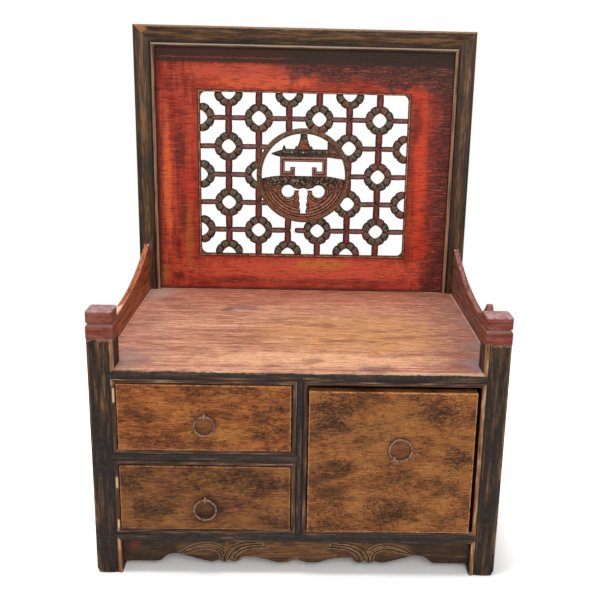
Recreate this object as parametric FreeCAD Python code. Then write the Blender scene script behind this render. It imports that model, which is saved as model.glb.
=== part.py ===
import FreeCAD, Part
import math
import os

from FreeCAD import Vector

# Altar cabinet: a low chest with three drawers, a board for offerings on top of it, an arm
# along each side of the board and a tall carved back panel in a moulded frame.
# Sizes are in millimetres. X runs to the right, Y to the back and Z up.
# A depth is counted backwards from the front face of the front posts.

# Overall sizes
front_width = 600.0
back_overhang = 4.0
back_frame_depth = 447.0
total_height = 805.0

# Levels of the front, from the floor up
apron_opening = 53.5
bottom_rail_height = 21.0
lower_bay_height = 103.5
mid_rail_height = 24.0
upper_bay_height = 102.4
top_rail_height = 22.0

# Front posts and their carved tops
post_width = 38.0
post_depth = 38.0
post_rise = 83.6
plain_block_drop = 40.0
ledge_drop = 22.5
ledge_bevel_height = 4.0
ledge_bevel = 3.0
cap_height = 17.5
cap_corner_radius = 5.0
cap_top_round = 2.5
foot_wear_width = 5.0
foot_wear_height = 8.0

# Moulding on the faces of the frame members
bead_width = 7.0
hollow_drop = 2.2
bead_drop = 0.4

# Joints between frame members
rail_depth = 30.0
lap_depth = 10.0
tenon_thickness = 6.0
tenon_length = 16.0
tenon_inset = 4.0
side_tenon_thickness = 8.0
back_tenon_length = 12.0
joint_clearance = 0.1
tenon_past_groove = 1.0

# Grooves that hold the panels
groove_depth = 6.0
groove_clearance = 0.2

# Middle stile and the partition behind it
mid_stile_width = 23.0
mid_stile_offset = 1.5
partition_thickness = 10.0

# Side frames
side_rail_inset = 3.0
side_rail_thickness = 24.0
side_rail_height = 22.0
side_panel_thickness = 8.0

# Boards
top_board_thickness = 12.0
top_rail_lip = 18.0
bottom_board_thickness = 8.0
bottom_board_rise = 4.5

# Apron under the bottom rail
apron_setback = 12.0
apron_thickness = 12.0
apron_plain_end = 47.0
apron_tongue_thickness = 6.0
apron_tongue_height = 5.0

# Back frame
back_post_width = 37.0
back_post_depth = 32.0
crest_height = 37.0
crest_tenon_width = 14.0
crest_tenon_height = 24.0
back_rail_setback = 8.0
back_rail_thickness = 20.0
back_rail_height = 28.0
back_bead_width = 7.5
back_panel_thickness = 10.0
back_panel_gap = 1.8
back_panel_tongue = 8.0
lower_back_thickness = 8.0

# Window in the back panel, its lip and the fretwork in it
window_width = 378.0
window_height = 297.0
window_sill_rise = 68.6
window_corner_radius = 11.0
window_lip_width = 3.0
window_lip_height = 1.0
fret_thickness = 10.0
fret_past_edge_x = 3.5
fret_past_edge_z = 6.0
fret_columns = 7
fret_rows = 6
upright_bar_width = 11.5
level_bar_width = 9.0
rosette_radius = 26.5
rosette_waist = 23.5
rosette_lobes = 8
rosette_lobe_half_angle = 10.0
rosette_hole = 13.5
broken_bar_length = 7.0

# Roundel in the middle of the fretwork
roundel_radius = 86.5
roundel_band = 9.5
roundel_thickness = 12.0
bowl_level = -1.0
bowl_hole_offset = 28.0
bowl_hole_drop = 29.0
bowl_hole_radius = 12.0
bowl_slot_top = -22.5
bowl_slot_height = 5.5
bowl_slit_width = 17.0
bowl_slit_foot_width = 10.0
bowl_slit_foot = -71.0
bowl_tongue_width = 9.0
bracket_half_width = 43.5
bracket_height = 35.0
bracket_bar = 9.0
bracket_hook_reach = 28.0
bracket_hook_height = 16.5
roof_half_width = 60.0
roof_eave = 40.0
roof_ridge = 48.5
roof_shoulder_drop = 9.0
petal_foot_half_width = 17.0
petal_neck_half_width = 6.0

# Arms beside the board
arm_inset = 5.0
arm_thickness = 9.5
arm_back_height = 87.0
arm_low_height = 39.0
arm_low_depth = 190.0
arm_tongue_thickness = 4.5
arm_tongue_length = 6.0
arm_tongue_top_inset = 8.0
arm_slope_sag = 12.0
arm_slope_share = 0.3
arm_spur_height = 70.0
arm_spur_depth = 124.0
arm_spur_width = 8.0
arm_spur_tip_slope = 3.0
arm_spur_rise_sag = 6.0
arm_spur_rise_share = 0.35
arm_heel_height = 45.0
arm_heel_length = 32.0
arm_heel_rise = 7.0

# Drawers
drawer_front_thickness = 18.0
drawer_side_thickness = 9.0
drawer_back_thickness = 9.0
drawer_bottom_thickness = 6.0
drawer_bottom_lift = 5.0
drawer_groove_depth = 4.0
drawer_side_drop = 12.0
drawer_end_gap = 0.6
drawer_reveal = 1.2
runner_gap = 0.4
big_drawer_proud = 4.0
big_drawer_top_gap = 7.0
big_drawer_right_gap = 6.0

# Drawer runners and their guide fences
runner_width = 12.0
runner_thickness = 11.0
fence_height = 14.0
guide_gap = 1.2
bearer_thickness = 10.0
stub_tenon_length = 6.0
stub_tenon_thickness = 6.0
stub_tenon_width = 8.0

# Ring pulls and the split pins that hold them
ring_wire = 3.0
upper_ring_diameter = 32.0
lower_ring_diameter = 35.0
big_ring_diameter = 36.0
eye_hole_radius = 2.4
eye_wire = 2.2
eye_standoff = 5.5
pin_radius = 2.0
pin_hole_clearance = 0.1
pin_leg_radius = 1.2
pin_leg_length = 9.0
pin_leg_gap = 0.1
pin_end_cover = 0.4
upper_pull_rise = 3.7
lower_pull_rise = -0.35
big_pull_shift = 2.9
big_pull_rise = 10.35
big_ring_direction = 52.0
ring_lean_gap = 0.3

# How far a cutting shape runs past what it cuts, and the smallest length that counts
overrun = 1.0
smallest = 0.01

# Levels and edges worked out from the sizes above
bottom_rail_top = apron_opening + bottom_rail_height
mid_rail_low = bottom_rail_top + lower_bay_height
mid_rail_top = mid_rail_low + mid_rail_height
top_rail_low = mid_rail_top + upper_bay_height
board_top = top_rail_low + top_rail_height
board_low = board_top - top_board_thickness
post_top = board_top + post_rise
plain_block_start = post_top - plain_block_drop
ledge_level = post_top - ledge_drop
cap_underside = post_top - cap_height
window_sill = board_top + window_sill_rise
half_front = front_width / 2
half_back = half_front + back_overhang
arm_gap_half = half_front - arm_inset - arm_thickness
bay_edge = half_front - post_width
back_opening = half_back - back_post_width
stile_left = mid_stile_offset - mid_stile_width / 2
stile_right = mid_stile_offset + mid_stile_width / 2
partition_left = mid_stile_offset - partition_thickness / 2
partition_right = mid_stile_offset + partition_thickness / 2
side_rail_outer = half_front - side_rail_inset
side_rail_inner = side_rail_outer - side_rail_thickness
side_centre = (side_rail_outer + side_rail_inner) / 2
back_rail_depth = back_frame_depth + back_rail_setback
crest_low = total_height - crest_height
bottom_board_level = apron_opening + bottom_board_rise
bottom_board_top = bottom_board_level + bottom_board_thickness

# The pulls stand furthest forward, and the back posts furthest back.
# The origin is on the floor in the middle of the whole depth and width.
eye_outer_radius = eye_hole_radius + eye_wire
pull_reach = big_drawer_proud + eye_standoff + eye_outer_radius
total_depth = pull_reach + back_frame_depth + back_post_depth
front_y = pull_reach - total_depth / 2


def at(x, depth, z):
    """Give the point at a place across, a depth behind the front face, and a height."""
    return Vector(x, front_y + depth, z)


def block(x0, x1, depth0, depth1, z0, z1):
    """Make a box between two places across, two depths and two heights."""
    return Part.makeBox(x1 - x0, depth1 - depth0, z1 - z0, at(x0, depth0, z0))


def upright_prism(points, depth0, depth1):
    """Make a solid from an outline of (x, z) points, between two depths."""
    corners = [at(x, depth0, z) for x, z in points]
    face = Part.Face(Part.makePolygon(corners + corners[:1]))
    return face.extrude(Vector(0, depth1 - depth0, 0))


def plan_prism(points, z0, z1):
    """Make a solid from an outline of (x, depth) points, between two heights."""
    corners = [at(x, depth, z0) for x, depth in points]
    face = Part.Face(Part.makePolygon(corners + corners[:1]))
    return face.extrude(Vector(0, 0, z1 - z0))


def arc_edge(start, middle, end):
    """Make an arc through three points."""
    return Part.Arc(start, middle, end).toShape()


def line_edge(start, end):
    """Make a straight edge between two points."""
    return Part.LineSegment(start, end).toShape()


def joined(first, *others):
    """Fuse solids into one clean solid."""
    return first.fuse(list(others)).removeSplitter()


def mirrored(shape):
    """Give the same shape on the other side of the cabinet's middle."""
    return shape.mirror(Vector(0, 0, 0), Vector(1, 0, 0))


def moulded_bar(width, depth, beads, place, run, bead):
    """Make a bar with a crowned face and a round bead along one or both of its edges.

    The section's point (across, behind) is put in space by place, and run is the bar's length.
    The beads are on the low side, the high side or both, as the pair of flags says.
    """
    low, high = beads
    crown_start = bead if low else 0.0
    crown_end = width - bead if high else width
    middle = (crown_start + crown_end) / 2
    edges = [arc_edge(place(crown_start, hollow_drop), place(middle, 0), place(crown_end, hollow_drop))]
    if low:
        edges.append(arc_edge(place(0, hollow_drop), place(bead / 2, bead_drop), place(bead, hollow_drop)))
    if high:
        bead_middle = place(width - bead / 2, bead_drop)
        edges.append(arc_edge(place(crown_end, hollow_drop), bead_middle, place(width, hollow_drop)))
    edges.append(line_edge(place(width, hollow_drop), place(width, depth)))
    edges.append(line_edge(place(width, depth), place(0, depth)))
    edges.append(line_edge(place(0, depth), place(0, hollow_drop)))
    return Part.Face(Part.Wire(Part.__sortEdges__(edges))).extrude(run)


class FrontBar:
    """A front rail or stile: a moulded bar whose face ends in points lapped into its neighbours."""

    def __init__(self, level, ends, edges, beads):
        self.level = level
        self.start, self.end = ends
        self.low, self.high = edges
        self.beads = beads
        self.middle = (self.low + self.high) / 2
        self.point = (self.high - self.low) / 2

    def outline(self, points):
        """Turn (along, across) points into (x, z) points."""
        if self.level:
            return points
        return [(across, along) for along, across in points]

    def box(self, along0, along1, across0, across1, depth0, depth1):
        """Make a box from places along and across the bar."""
        if self.level:
            return block(along0, along1, depth0, depth1, across0, across1)
        return block(across0, across1, depth0, depth1, along0, along1)

    def tenon(self, side, clearance):
        """Make the tenon at one end, or its mortise when a clearance is given."""
        end = self.end if side > 0 else self.start
        tip = end + side * (tenon_length + clearance)
        low = self.low + tenon_inset - clearance
        high = self.high - tenon_inset + clearance
        depth0 = lap_depth - clearance
        depth1 = lap_depth + tenon_thickness + clearance
        return self.box(min(end, tip), max(end, tip), low, high, depth0, depth1)

    def seat(self, side):
        """Make what is cut out of the neighbour at one end: the pointed lap and the mortise."""
        end = self.end if side > 0 else self.start
        tip = end + side * self.point
        points = [(end, self.low), (tip, self.middle), (end, self.high)]
        notch = upright_prism(self.outline(points), -overrun, lap_depth)
        return notch.fuse(self.tenon(side, joint_clearance))

    def solid(self):
        """Make the bar itself."""
        length = self.end - self.start + 2 * self.point
        begin = self.start - self.point

        def place(across, behind):
            if self.level:
                return at(begin, behind, self.low + across)
            return at(self.low + across, behind, begin)

        run = Vector(length, 0, 0) if self.level else Vector(0, 0, length)
        bar = moulded_bar(self.high - self.low, rail_depth, self.beads, place, run, bead_width)
        points = [
            (self.start, self.low), (self.end, self.low), (self.end + self.point, self.middle),
            (self.end, self.high), (self.start, self.high), (self.start - self.point, self.middle),
        ]
        face_part = upright_prism(self.outline(points), 0.0, lap_depth)
        body_part = self.box(self.start, self.end, self.low, self.high, lap_depth, rail_depth)
        bar = bar.common(face_part.fuse(body_part))
        return joined(bar, self.tenon(-1, 0.0), self.tenon(1, 0.0))


top_rail_bar = FrontBar(True, (-bay_edge, bay_edge), (top_rail_low, board_top), (True, False))
mid_rail_bar = FrontBar(True, (-bay_edge, stile_left), (mid_rail_low, mid_rail_top), (True, True))
bottom_rail_bar = FrontBar(True, (-bay_edge, bay_edge), (apron_opening, bottom_rail_top), (False, True))
mid_stile_bar = FrontBar(False, (bottom_rail_top, top_rail_low), (stile_left, stile_right), (True, True))


# Side rails

def side_rail_tenons(z0, z1, panel_above, clearance):
    """Make both tenons of a right-hand side rail, or their mortises when a clearance is given."""
    panel_side = groove_depth + tenon_past_groove
    low = z0 + (tenon_inset if panel_above else panel_side) - clearance
    high = z1 - (panel_side if panel_above else tenon_inset) + clearance
    x0 = side_centre - side_tenon_thickness / 2 - clearance
    x1 = side_centre + side_tenon_thickness / 2 + clearance
    front = block(x0, x1, post_depth - tenon_length - clearance, post_depth, low, high)
    back = block(x0, x1, back_frame_depth, back_frame_depth + tenon_length + clearance, low, high)
    return front.fuse(back)


side_top_levels = (board_low - side_rail_height, board_low)
side_bottom_levels = (apron_opening, bottom_rail_top)


def side_panel_box(clearance):
    """Make the right-hand side panel, or the groove round it when a clearance is given."""
    z0 = bottom_rail_top - groove_depth
    z1 = side_top_levels[0] + groove_depth
    x0 = side_centre - side_panel_thickness / 2
    x1 = x0 + side_panel_thickness + clearance
    depth0 = post_depth - groove_depth
    depth1 = back_frame_depth + groove_depth
    return block(x0, x1, depth0 - clearance, depth1 + clearance, z0 - clearance, z1 + clearance)


def side_top_rail():
    low, high = side_top_levels
    rail = block(side_rail_inner, side_rail_outer, post_depth, back_frame_depth, low, high)
    rail = joined(rail, side_rail_tenons(low, high, False, 0.0))
    return rail.cut(side_panel_box(groove_clearance))


def side_bottom_rail():
    low, high = side_bottom_levels
    rail = block(side_rail_inner, side_rail_outer, post_depth, back_frame_depth, low, high)
    rail = joined(rail, side_rail_tenons(low, high, True, 0.0))
    return rail.cut(side_panel_box(groove_clearance)).cut(bottom_board_shape(groove_clearance))


# Boards

def notched_board(half_width, front_depth, back_depth, z0, z1, clearance):
    """Make a level board that fits round the four posts."""
    front_half = bay_edge - joint_clearance + clearance
    back_half = back_opening - joint_clearance + clearance
    back_depth = back_depth + clearance
    half_width = half_width + clearance
    points = [
        (-front_half, front_depth - clearance), (front_half, front_depth - clearance),
        (front_half, post_depth), (half_width, post_depth),
        (half_width, back_frame_depth), (back_half, back_frame_depth),
        (back_half, back_depth), (-back_half, back_depth),
        (-back_half, back_frame_depth), (-half_width, back_frame_depth),
        (-half_width, post_depth), (-front_half, post_depth),
    ]
    return plan_prism(points, z0, z1)


def top_board():
    half_width = arm_gap_half - joint_clearance
    return notched_board(half_width, top_rail_lip, back_rail_depth, board_low, board_top, 0.0)


def bottom_board_shape(clearance):
    """Make the bottom board, or the groove round it when a clearance is given."""
    half_width = side_rail_inner + groove_depth
    front_depth = rail_depth - groove_depth
    back_depth = back_rail_depth + groove_depth
    z1 = bottom_board_top + clearance
    return notched_board(half_width, front_depth, back_depth, bottom_board_level, z1, clearance)


def bottom_board():
    return bottom_board_shape(0.0)


# Front frame

def front_top_rail():
    rail = top_rail_bar.solid()
    rebate = block(-half_front, half_front, top_rail_lip, rail_depth + overrun, board_low,
                   board_top + overrun)
    return rail.cut(rebate).cut(mid_stile_bar.seat(1))


def front_mid_rail():
    rail = mid_rail_bar.solid()
    return rail.cut([upper_runner_tenons(x, joint_clearance) for x in upper_runner_starts])


def front_bottom_rail():
    rail = bottom_rail_bar.solid()
    rail = rail.cut(mid_stile_bar.seat(-1)).cut(bottom_board_shape(groove_clearance))
    return rail.cut(apron_tongue(groove_clearance))


def front_mid_stile():
    stile = mid_stile_bar.solid()
    return stile.cut(mid_rail_bar.seat(1)).cut(partition_box(groove_clearance))


def partition_box(clearance):
    """Make the partition, or the groove for its front edge when a clearance is given."""
    depth0 = rail_depth - groove_depth - clearance
    return block(partition_left, partition_right + clearance, depth0, rail_depth, bottom_rail_top,
                 top_rail_low).fuse(partition_body())


def partition_body():
    return block(partition_left, partition_right, rail_depth, back_rail_depth, bottom_board_top, board_low)


def partition():
    return partition_box(0.0).removeSplitter()


# Front posts

def post_top_block():
    """Make the plain block, the bevelled ledge and the rounded cap on a right-hand post."""
    outer = half_front
    block_part = block(bay_edge, outer, 0.0, post_depth, plain_block_start, ledge_level)
    neck_level = ledge_level + ledge_bevel_height
    low_corners = [at(bay_edge, 0, ledge_level), at(outer, 0, ledge_level),
                   at(outer, post_depth, ledge_level), at(bay_edge, post_depth, ledge_level)]
    near = ledge_bevel
    far = post_depth - ledge_bevel
    high_corners = [at(bay_edge + near, near, neck_level), at(outer - near, near, neck_level),
                    at(outer - near, far, neck_level), at(bay_edge + near, far, neck_level)]
    ledge = Part.makeLoft([Part.makePolygon(low_corners + low_corners[:1]),
                           Part.makePolygon(high_corners + high_corners[:1])], True, True)
    neck = block(bay_edge + near, outer - near, near, far, neck_level, cap_underside)
    cap = block(bay_edge, outer, 0.0, post_depth, cap_underside, post_top)
    uprights = [e for e in cap.Edges if e.BoundBox.ZLength > smallest]
    cap = cap.makeFillet(cap_corner_radius, uprights)
    top_edges = [e for e in cap.Edges if e.BoundBox.ZMin > post_top - smallest]
    cap = cap.makeFillet(cap_top_round, top_edges)
    return joined(block_part, ledge, neck, cap)


def front_post_body():
    """Make a right-hand front post before its joints are cut."""

    def place(across, behind):
        return at(half_front - across, behind, 0)

    run = Vector(0, 0, plain_block_start)
    shaft = moulded_bar(post_width, post_depth, (False, True), place, run, bead_width)
    wear = upright_prism([(half_front - foot_wear_width, 0), (half_front, foot_wear_height),
                          (half_front + overrun, 0)], -overrun, post_depth + overrun)
    return joined(shaft, post_top_block()).cut(wear)


def front_post_joints():
    """Make what both front posts lose to the side rails, the side panel, the arm and the apron."""
    cuts = side_rail_tenons(*side_top_levels, False, joint_clearance)
    cuts = cuts.fuse(side_rail_tenons(*side_bottom_levels, True, joint_clearance))
    cuts = cuts.fuse(side_panel_box(groove_clearance))
    cuts = cuts.fuse(arm_tongues(joint_clearance))
    return cuts.fuse(apron_end(groove_clearance))


def front_post_right():
    post = front_post_body().cut(front_post_joints())
    for bar in (top_rail_bar, bottom_rail_bar):
        post = post.cut(bar.seat(1))
    return post


def front_post_left():
    post = mirrored(front_post_body().cut(front_post_joints()))
    for bar in (top_rail_bar, mid_rail_bar, bottom_rail_bar):
        post = post.cut(bar.seat(-1))
    return post


# Apron

def apron_tongue(clearance):
    """Make the tongue along the apron's top edge, or its groove when a clearance is given."""
    depth0 = apron_setback + (apron_thickness - apron_tongue_thickness) / 2
    depth1 = depth0 + apron_tongue_thickness + clearance
    return block(-bay_edge, bay_edge, depth0, depth1, apron_opening,
                 apron_opening + apron_tongue_height + clearance)


def apron_end(clearance):
    """Make the apron's right-hand end inside the post, or its groove when a clearance is given."""
    lowest = min(z for x, z in apron_outline)
    return block(bay_edge, bay_edge + groove_depth + clearance, apron_setback,
                 apron_setback + apron_thickness + clearance, lowest - clearance, apron_opening)


# Half of the apron's lower edge, from the middle outwards: each arc's middle and end points
apron_outline = [
    (0.0, 18.5),
    (9.0, 14.5), (16.0, 12.5),
    (25.0, 12.0), (34.0, 13.0),
    (62.0, 20.5), (84.0, 21.0),
    (90.0, 14.0), (97.0, 12.5),
    (101.0, 14.5), (103.5, 16.5),
    (107.0, 13.0), (110.5, 12.0),
    (114.0, 13.0), (117.5, 16.5),
    (124.0, 13.5), (131.0, 12.5),
    (152.0, 18.0), (178.0, 25.5),
    (190.0, 25.5), (200.0, 20.5),
    (206.0, 14.5), (215.0, 12.5),
]


def apron_front():
    """Make the apron with its scrolled lower edge."""
    front = apron_setback
    end = bay_edge + groove_depth
    last_x, last_z = apron_outline[-1]
    stretch = (bay_edge - apron_plain_end) / last_x
    edges = []
    for side in (-1, 1):
        points = [at(side * stretch * x, front, z) for x, z in apron_outline]
        edges += [arc_edge(*points[i:i + 3]) for i in range(0, len(points) - 2, 2)]
        edges.append(line_edge(points[-1], at(side * end, front, last_z)))
        edges.append(line_edge(at(side * end, front, last_z), at(side * end, front, apron_opening)))
    edges.append(line_edge(at(-end, front, apron_opening), at(end, front, apron_opening)))
    wire = Part.Wire(Part.__sortEdges__(edges))
    board = Part.Face(wire).extrude(Vector(0, apron_thickness, 0))
    return joined(board, apron_tongue(0.0))


# Back frame

def back_mitre():
    """Make the region of the right-hand corner that belongs to the back post."""
    slope = crest_height / back_post_width
    outer = half_back + overrun
    points = [(back_opening, 0), (outer, 0), (outer, total_height + overrun * slope),
              (back_opening, crest_low)]
    return upright_prism(points, back_frame_depth - overrun, back_frame_depth + back_post_depth + overrun)


def crest_tenon(clearance):
    """Make the tenon on the right-hand back post's top, or its mortise when a clearance is given."""
    middle = half_back - back_post_width / 2
    x0 = middle - crest_tenon_width / 2 - clearance
    x1 = middle + crest_tenon_width / 2 + clearance
    depth0 = back_rail_depth + back_panel_thickness + tenon_past_groove - clearance
    depth1 = depth0 + tenon_thickness + 2 * clearance
    top = crest_low + crest_tenon_height + clearance
    return block(x0, x1, depth0, depth1, crest_low, top)


def back_panel_box(clearance):
    """Make the back panel's outline, or the groove round it when a clearance is given."""
    half = back_opening + back_panel_tongue + clearance
    top = crest_low + back_panel_tongue + clearance
    depth1 = back_rail_depth + back_panel_thickness + clearance
    return block(-half, half, back_rail_depth, depth1, board_top + back_panel_gap - clearance, top)


def lower_back_box(clearance):
    """Make the lower back panel, or the groove round it when a clearance is given."""
    half = back_opening + groove_depth + clearance
    z0 = bottom_rail_top - groove_depth - clearance
    z1 = board_top - back_rail_height + groove_depth + clearance
    depth1 = back_rail_depth + lower_back_thickness + clearance
    return block(-half, half, back_rail_depth, depth1, z0, z1)


def back_rail_tenons(z0, z1, panel_above, clearance):
    """Make both tenons of a back rail, or their mortises when a clearance is given."""
    panel_side = groove_depth + tenon_past_groove
    low = z0 + (tenon_inset if panel_above else panel_side) - clearance
    high = z1 - (panel_side if panel_above else tenon_inset) + clearance
    reach = back_opening + back_tenon_length + clearance
    depth0 = back_rail_depth + lower_back_thickness - clearance
    depth1 = depth0 + tenon_thickness + 2 * clearance
    return block(-reach, reach, depth0, depth1, low, high)


back_mid_levels = (board_top - back_rail_height, board_top)
back_bottom_levels = (apron_opening, bottom_rail_top)


def back_post_right():
    def place(across, behind):
        return at(half_back - across, back_frame_depth + behind, board_top)

    run = Vector(0, 0, total_height - board_top + overrun)
    shaft = moulded_bar(back_post_width, back_post_depth, (False, True), place, run, back_bead_width)
    shaft = shaft.common(back_mitre())
    foot = block(back_opening, half_back, back_frame_depth, back_frame_depth + back_post_depth, 0, board_top)
    tenon = crest_tenon(0.0).cut(back_mitre())
    post = joined(foot, shaft, tenon)
    post = post.cut(back_panel_box(groove_clearance)).cut(lower_back_box(groove_clearance))
    post = post.cut(back_rail_tenons(*back_mid_levels, False, joint_clearance))
    post = post.cut(back_rail_tenons(*back_bottom_levels, True, joint_clearance))
    post = post.cut(side_rail_tenons(*side_top_levels, False, joint_clearance))
    post = post.cut(side_rail_tenons(*side_bottom_levels, True, joint_clearance))
    return post.cut(side_panel_box(groove_clearance)).cut(arm_tongues(joint_clearance))


def back_post_left():
    return mirrored(back_post_right())


def back_crest_rail():
    def place(across, behind):
        return at(-half_back, back_frame_depth + behind, total_height - across)

    run = Vector(2 * half_back, 0, 0)
    rail = moulded_bar(crest_height, back_post_depth, (False, True), place, run, back_bead_width)
    corner = back_mitre()
    rail = rail.cut(corner).cut(mirrored(corner)).cut(back_panel_box(groove_clearance))
    mortise = crest_tenon(joint_clearance)
    return rail.cut(mortise).cut(mirrored(mortise))


def back_mid_rail():
    low, high = back_mid_levels
    depth1 = back_rail_depth + back_rail_thickness
    rail = block(-back_opening, back_opening, back_rail_depth, depth1, low, high)
    rail = joined(rail, back_rail_tenons(low, high, False, 0.0))
    return rail.cut(lower_back_box(groove_clearance))


def back_bottom_rail():
    low, high = back_bottom_levels
    depth1 = back_rail_depth + back_rail_thickness
    rail = block(-back_opening, back_opening, back_rail_depth, depth1, low, high)
    rail = joined(rail, back_rail_tenons(low, high, True, 0.0))
    return rail.cut(lower_back_box(groove_clearance)).cut(bottom_board_shape(groove_clearance))


def lower_back_panel():
    return lower_back_box(0.0)


def rounded_window(grow, depth0, depth1):
    """Make a solid the shape of the window, larger all round by grow."""
    width = window_width + 2 * grow
    height = window_height + 2 * grow
    solid = block(-width / 2, width / 2, depth0, depth1, window_sill - grow, window_sill - grow + height)
    corners = [e for e in solid.Edges if e.BoundBox.YLength > smallest]
    return solid.makeFillet(window_corner_radius + grow, corners)


def back_panel():
    """Make the panel with its window and the thin raised lip round it."""
    depth1 = back_rail_depth + back_panel_thickness
    lip = rounded_window(window_lip_width, back_rail_depth - window_lip_height, depth1)
    opening = rounded_window(0.0, back_rail_depth - window_lip_height - overrun, depth1 + overrun)
    return joined(back_panel_box(0.0), lip).cut(opening)


# Fretwork and roundel

window_middle_z = window_sill + window_height / 2
fret_pitch_x = (window_width + 2 * fret_past_edge_x) / fret_columns
fret_pitch_z = (window_height + 2 * fret_past_edge_z) / fret_rows
fret_front = back_rail_depth
fret_back = fret_front + fret_thickness


def fret_node(column, row):
    """Give the place of a crossing; the outermost ones lie on the window's edges."""
    x = (column - fret_columns / 2) * fret_pitch_x
    z = (fret_rows / 2 - row) * fret_pitch_z
    half_width = window_width / 2
    half_height = window_height / 2
    return max(-half_width, min(half_width, x)), window_middle_z + max(-half_height, min(half_height, z))


def rosette(column, row):
    """Make one knotted ring of the fret, without its hole: eight lobes round a crossing."""
    x, z = fret_node(column, row)
    points = []
    for lobe in range(rosette_lobes):
        waist_angle = 360.0 / rosette_lobes * lobe
        lobe_angle = waist_angle + 180.0 / rosette_lobes
        for degrees, radius in ((waist_angle, rosette_waist),
                                (lobe_angle - rosette_lobe_half_angle, rosette_radius),
                                (lobe_angle + rosette_lobe_half_angle, rosette_radius)):
            angle = math.radians(degrees)
            points.append((x + radius * math.cos(angle), z + radius * math.sin(angle)))
    return upright_prism(points, fret_front, fret_back)


def rosette_opening(column, row):
    """Make the diamond hole of one ring."""
    x, z = fret_node(column, row)
    points = [(x + rosette_hole, z), (x, z + rosette_hole), (x - rosette_hole, z), (x, z - rosette_hole)]
    return upright_prism(points, fret_front - overrun, fret_back + overrun)


def has_rosette(column, row):
    """Tell whether a crossing is a knotted ring: every other one is, but none in the corners."""
    in_corner = column in (0, fret_columns) and row in (0, fret_rows)
    return (column + row) % 2 == 1 and not in_corner


def fret_bars():
    """Make the bars along every line of the fret."""
    top = window_sill + window_height
    half_width = window_width / 2
    bars = []
    for column in range(1, fret_columns):
        x, _ = fret_node(column, 1)
        bars.append(block(x - upright_bar_width / 2, x + upright_bar_width / 2, fret_front, fret_back,
                          window_sill, top))
    for row in range(1, fret_rows):
        _, z = fret_node(1, row)
        bars.append(block(-half_width, half_width, fret_front, fret_back, z - level_bar_width / 2,
                          z + level_bar_width / 2))
    return bars


def broken_bar_break():
    """Make the gap where a piece of a level bar is missing beside a crossing."""
    x, z = fret_node(fret_columns // 2, fret_rows - 1)
    x0 = x + upright_bar_width / 2
    return block(x0, x0 + broken_bar_length, fret_front - overrun, fret_back + overrun,
                 z - level_bar_width, z + level_bar_width)


def roundel_disc(radius, depth0, depth1):
    return Part.makeCylinder(radius, depth1 - depth0, at(0, depth0, window_middle_z), Vector(0, 1, 0))


def back_fretwork():
    """Make the fret of bars and knotted rings that fills the window round the roundel."""
    nodes = [(c, r) for c in range(fret_columns + 1) for r in range(fret_rows + 1) if has_rosette(c, r)]
    rings = [rosette(c, r) for c, r in nodes]
    net = rings[0].fuse(rings[1:] + fret_bars())
    net = net.common(rounded_window(0.0, fret_front - overrun, fret_back + overrun))
    holes = [rosette_opening(c, r) for c, r in nodes]
    holes.append(broken_bar_break())
    holes.append(roundel_disc(roundel_radius, fret_front - overrun, fret_back + overrun))
    net = net.cut(holes)
    return max(net.Solids, key=lambda s: s.Volume) if len(net.Solids) > 1 else net.removeSplitter()


def roundel_prism(points):
    """Make a piece of the roundel from an outline of (x, z) points about its middle."""
    return upright_prism([(x, window_middle_z + z) for x, z in points], fret_front, roundel_back)


roundel_back = fret_front + roundel_thickness


def roundel_bowl():
    """Make the carved bowl with two round holes, a slot over the tongues and a slit."""
    inner = roundel_radius - roundel_band / 2
    bowl = roundel_disc(inner, fret_front, roundel_back)
    level = window_middle_z + bowl_level
    bowl = bowl.common(block(-inner, inner, fret_front, roundel_back, level - inner, level))
    holes = []
    hole_length = roundel_thickness + 2 * overrun
    for side in (-1, 1):
        centre = at(side * bowl_hole_offset, fret_front - overrun, window_middle_z - bowl_hole_drop)
        holes.append(Part.makeCylinder(bowl_hole_radius, hole_length, centre, Vector(0, 1, 0)))
    slot_low = bowl_slot_top - bowl_slot_height
    holes.append(block(-bowl_hole_offset, bowl_hole_offset, fret_front - overrun, roundel_back + overrun,
                       window_middle_z + slot_low, window_middle_z + bowl_slot_top))
    half = bowl_slit_width / 2
    foot = bowl_slit_foot_width / 2
    slit = roundel_prism([(-half, slot_low), (-foot, bowl_slit_foot), (foot, bowl_slit_foot),
                          (half, slot_low)])
    tongue_low = window_middle_z - bowl_hole_drop - bowl_hole_radius
    for side in (-1, 1):
        x0, x1 = sorted((side * half, side * (half + bowl_tongue_width)))
        tongue = block(x0, x1, fret_front - 2 * overrun, roundel_back + 2 * overrun, tongue_low,
                       window_middle_z + slot_low)
        holes = [hole.cut(tongue) for hole in holes]
    return bowl.cut(holes + [slit])


def roundel_bracket():
    """Make the fret bracket whose ends turn inwards and up."""
    outer = bracket_half_width
    inner = outer - bracket_bar
    low = bowl_level
    pieces = [roundel_prism([(-outer, bracket_height - bracket_bar), (outer, bracket_height - bracket_bar),
                             (outer, bracket_height), (-outer, bracket_height)])]
    hook_x = outer - bracket_hook_reach
    for side in (-1, 1):
        leg = [(side * inner, low), (side * outer, low), (side * outer, bracket_height),
               (side * inner, bracket_height)]
        foot = [(side * hook_x, low), (side * outer, low), (side * outer, low + bracket_bar),
                (side * hook_x, low + bracket_bar)]
        hook = [(side * hook_x, low), (side * (hook_x + bracket_bar), low),
                (side * (hook_x + bracket_bar), low + bracket_hook_height),
                (side * hook_x, low + bracket_hook_height)]
        pieces += [roundel_prism(leg), roundel_prism(foot), roundel_prism(hook)]
    return pieces


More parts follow.
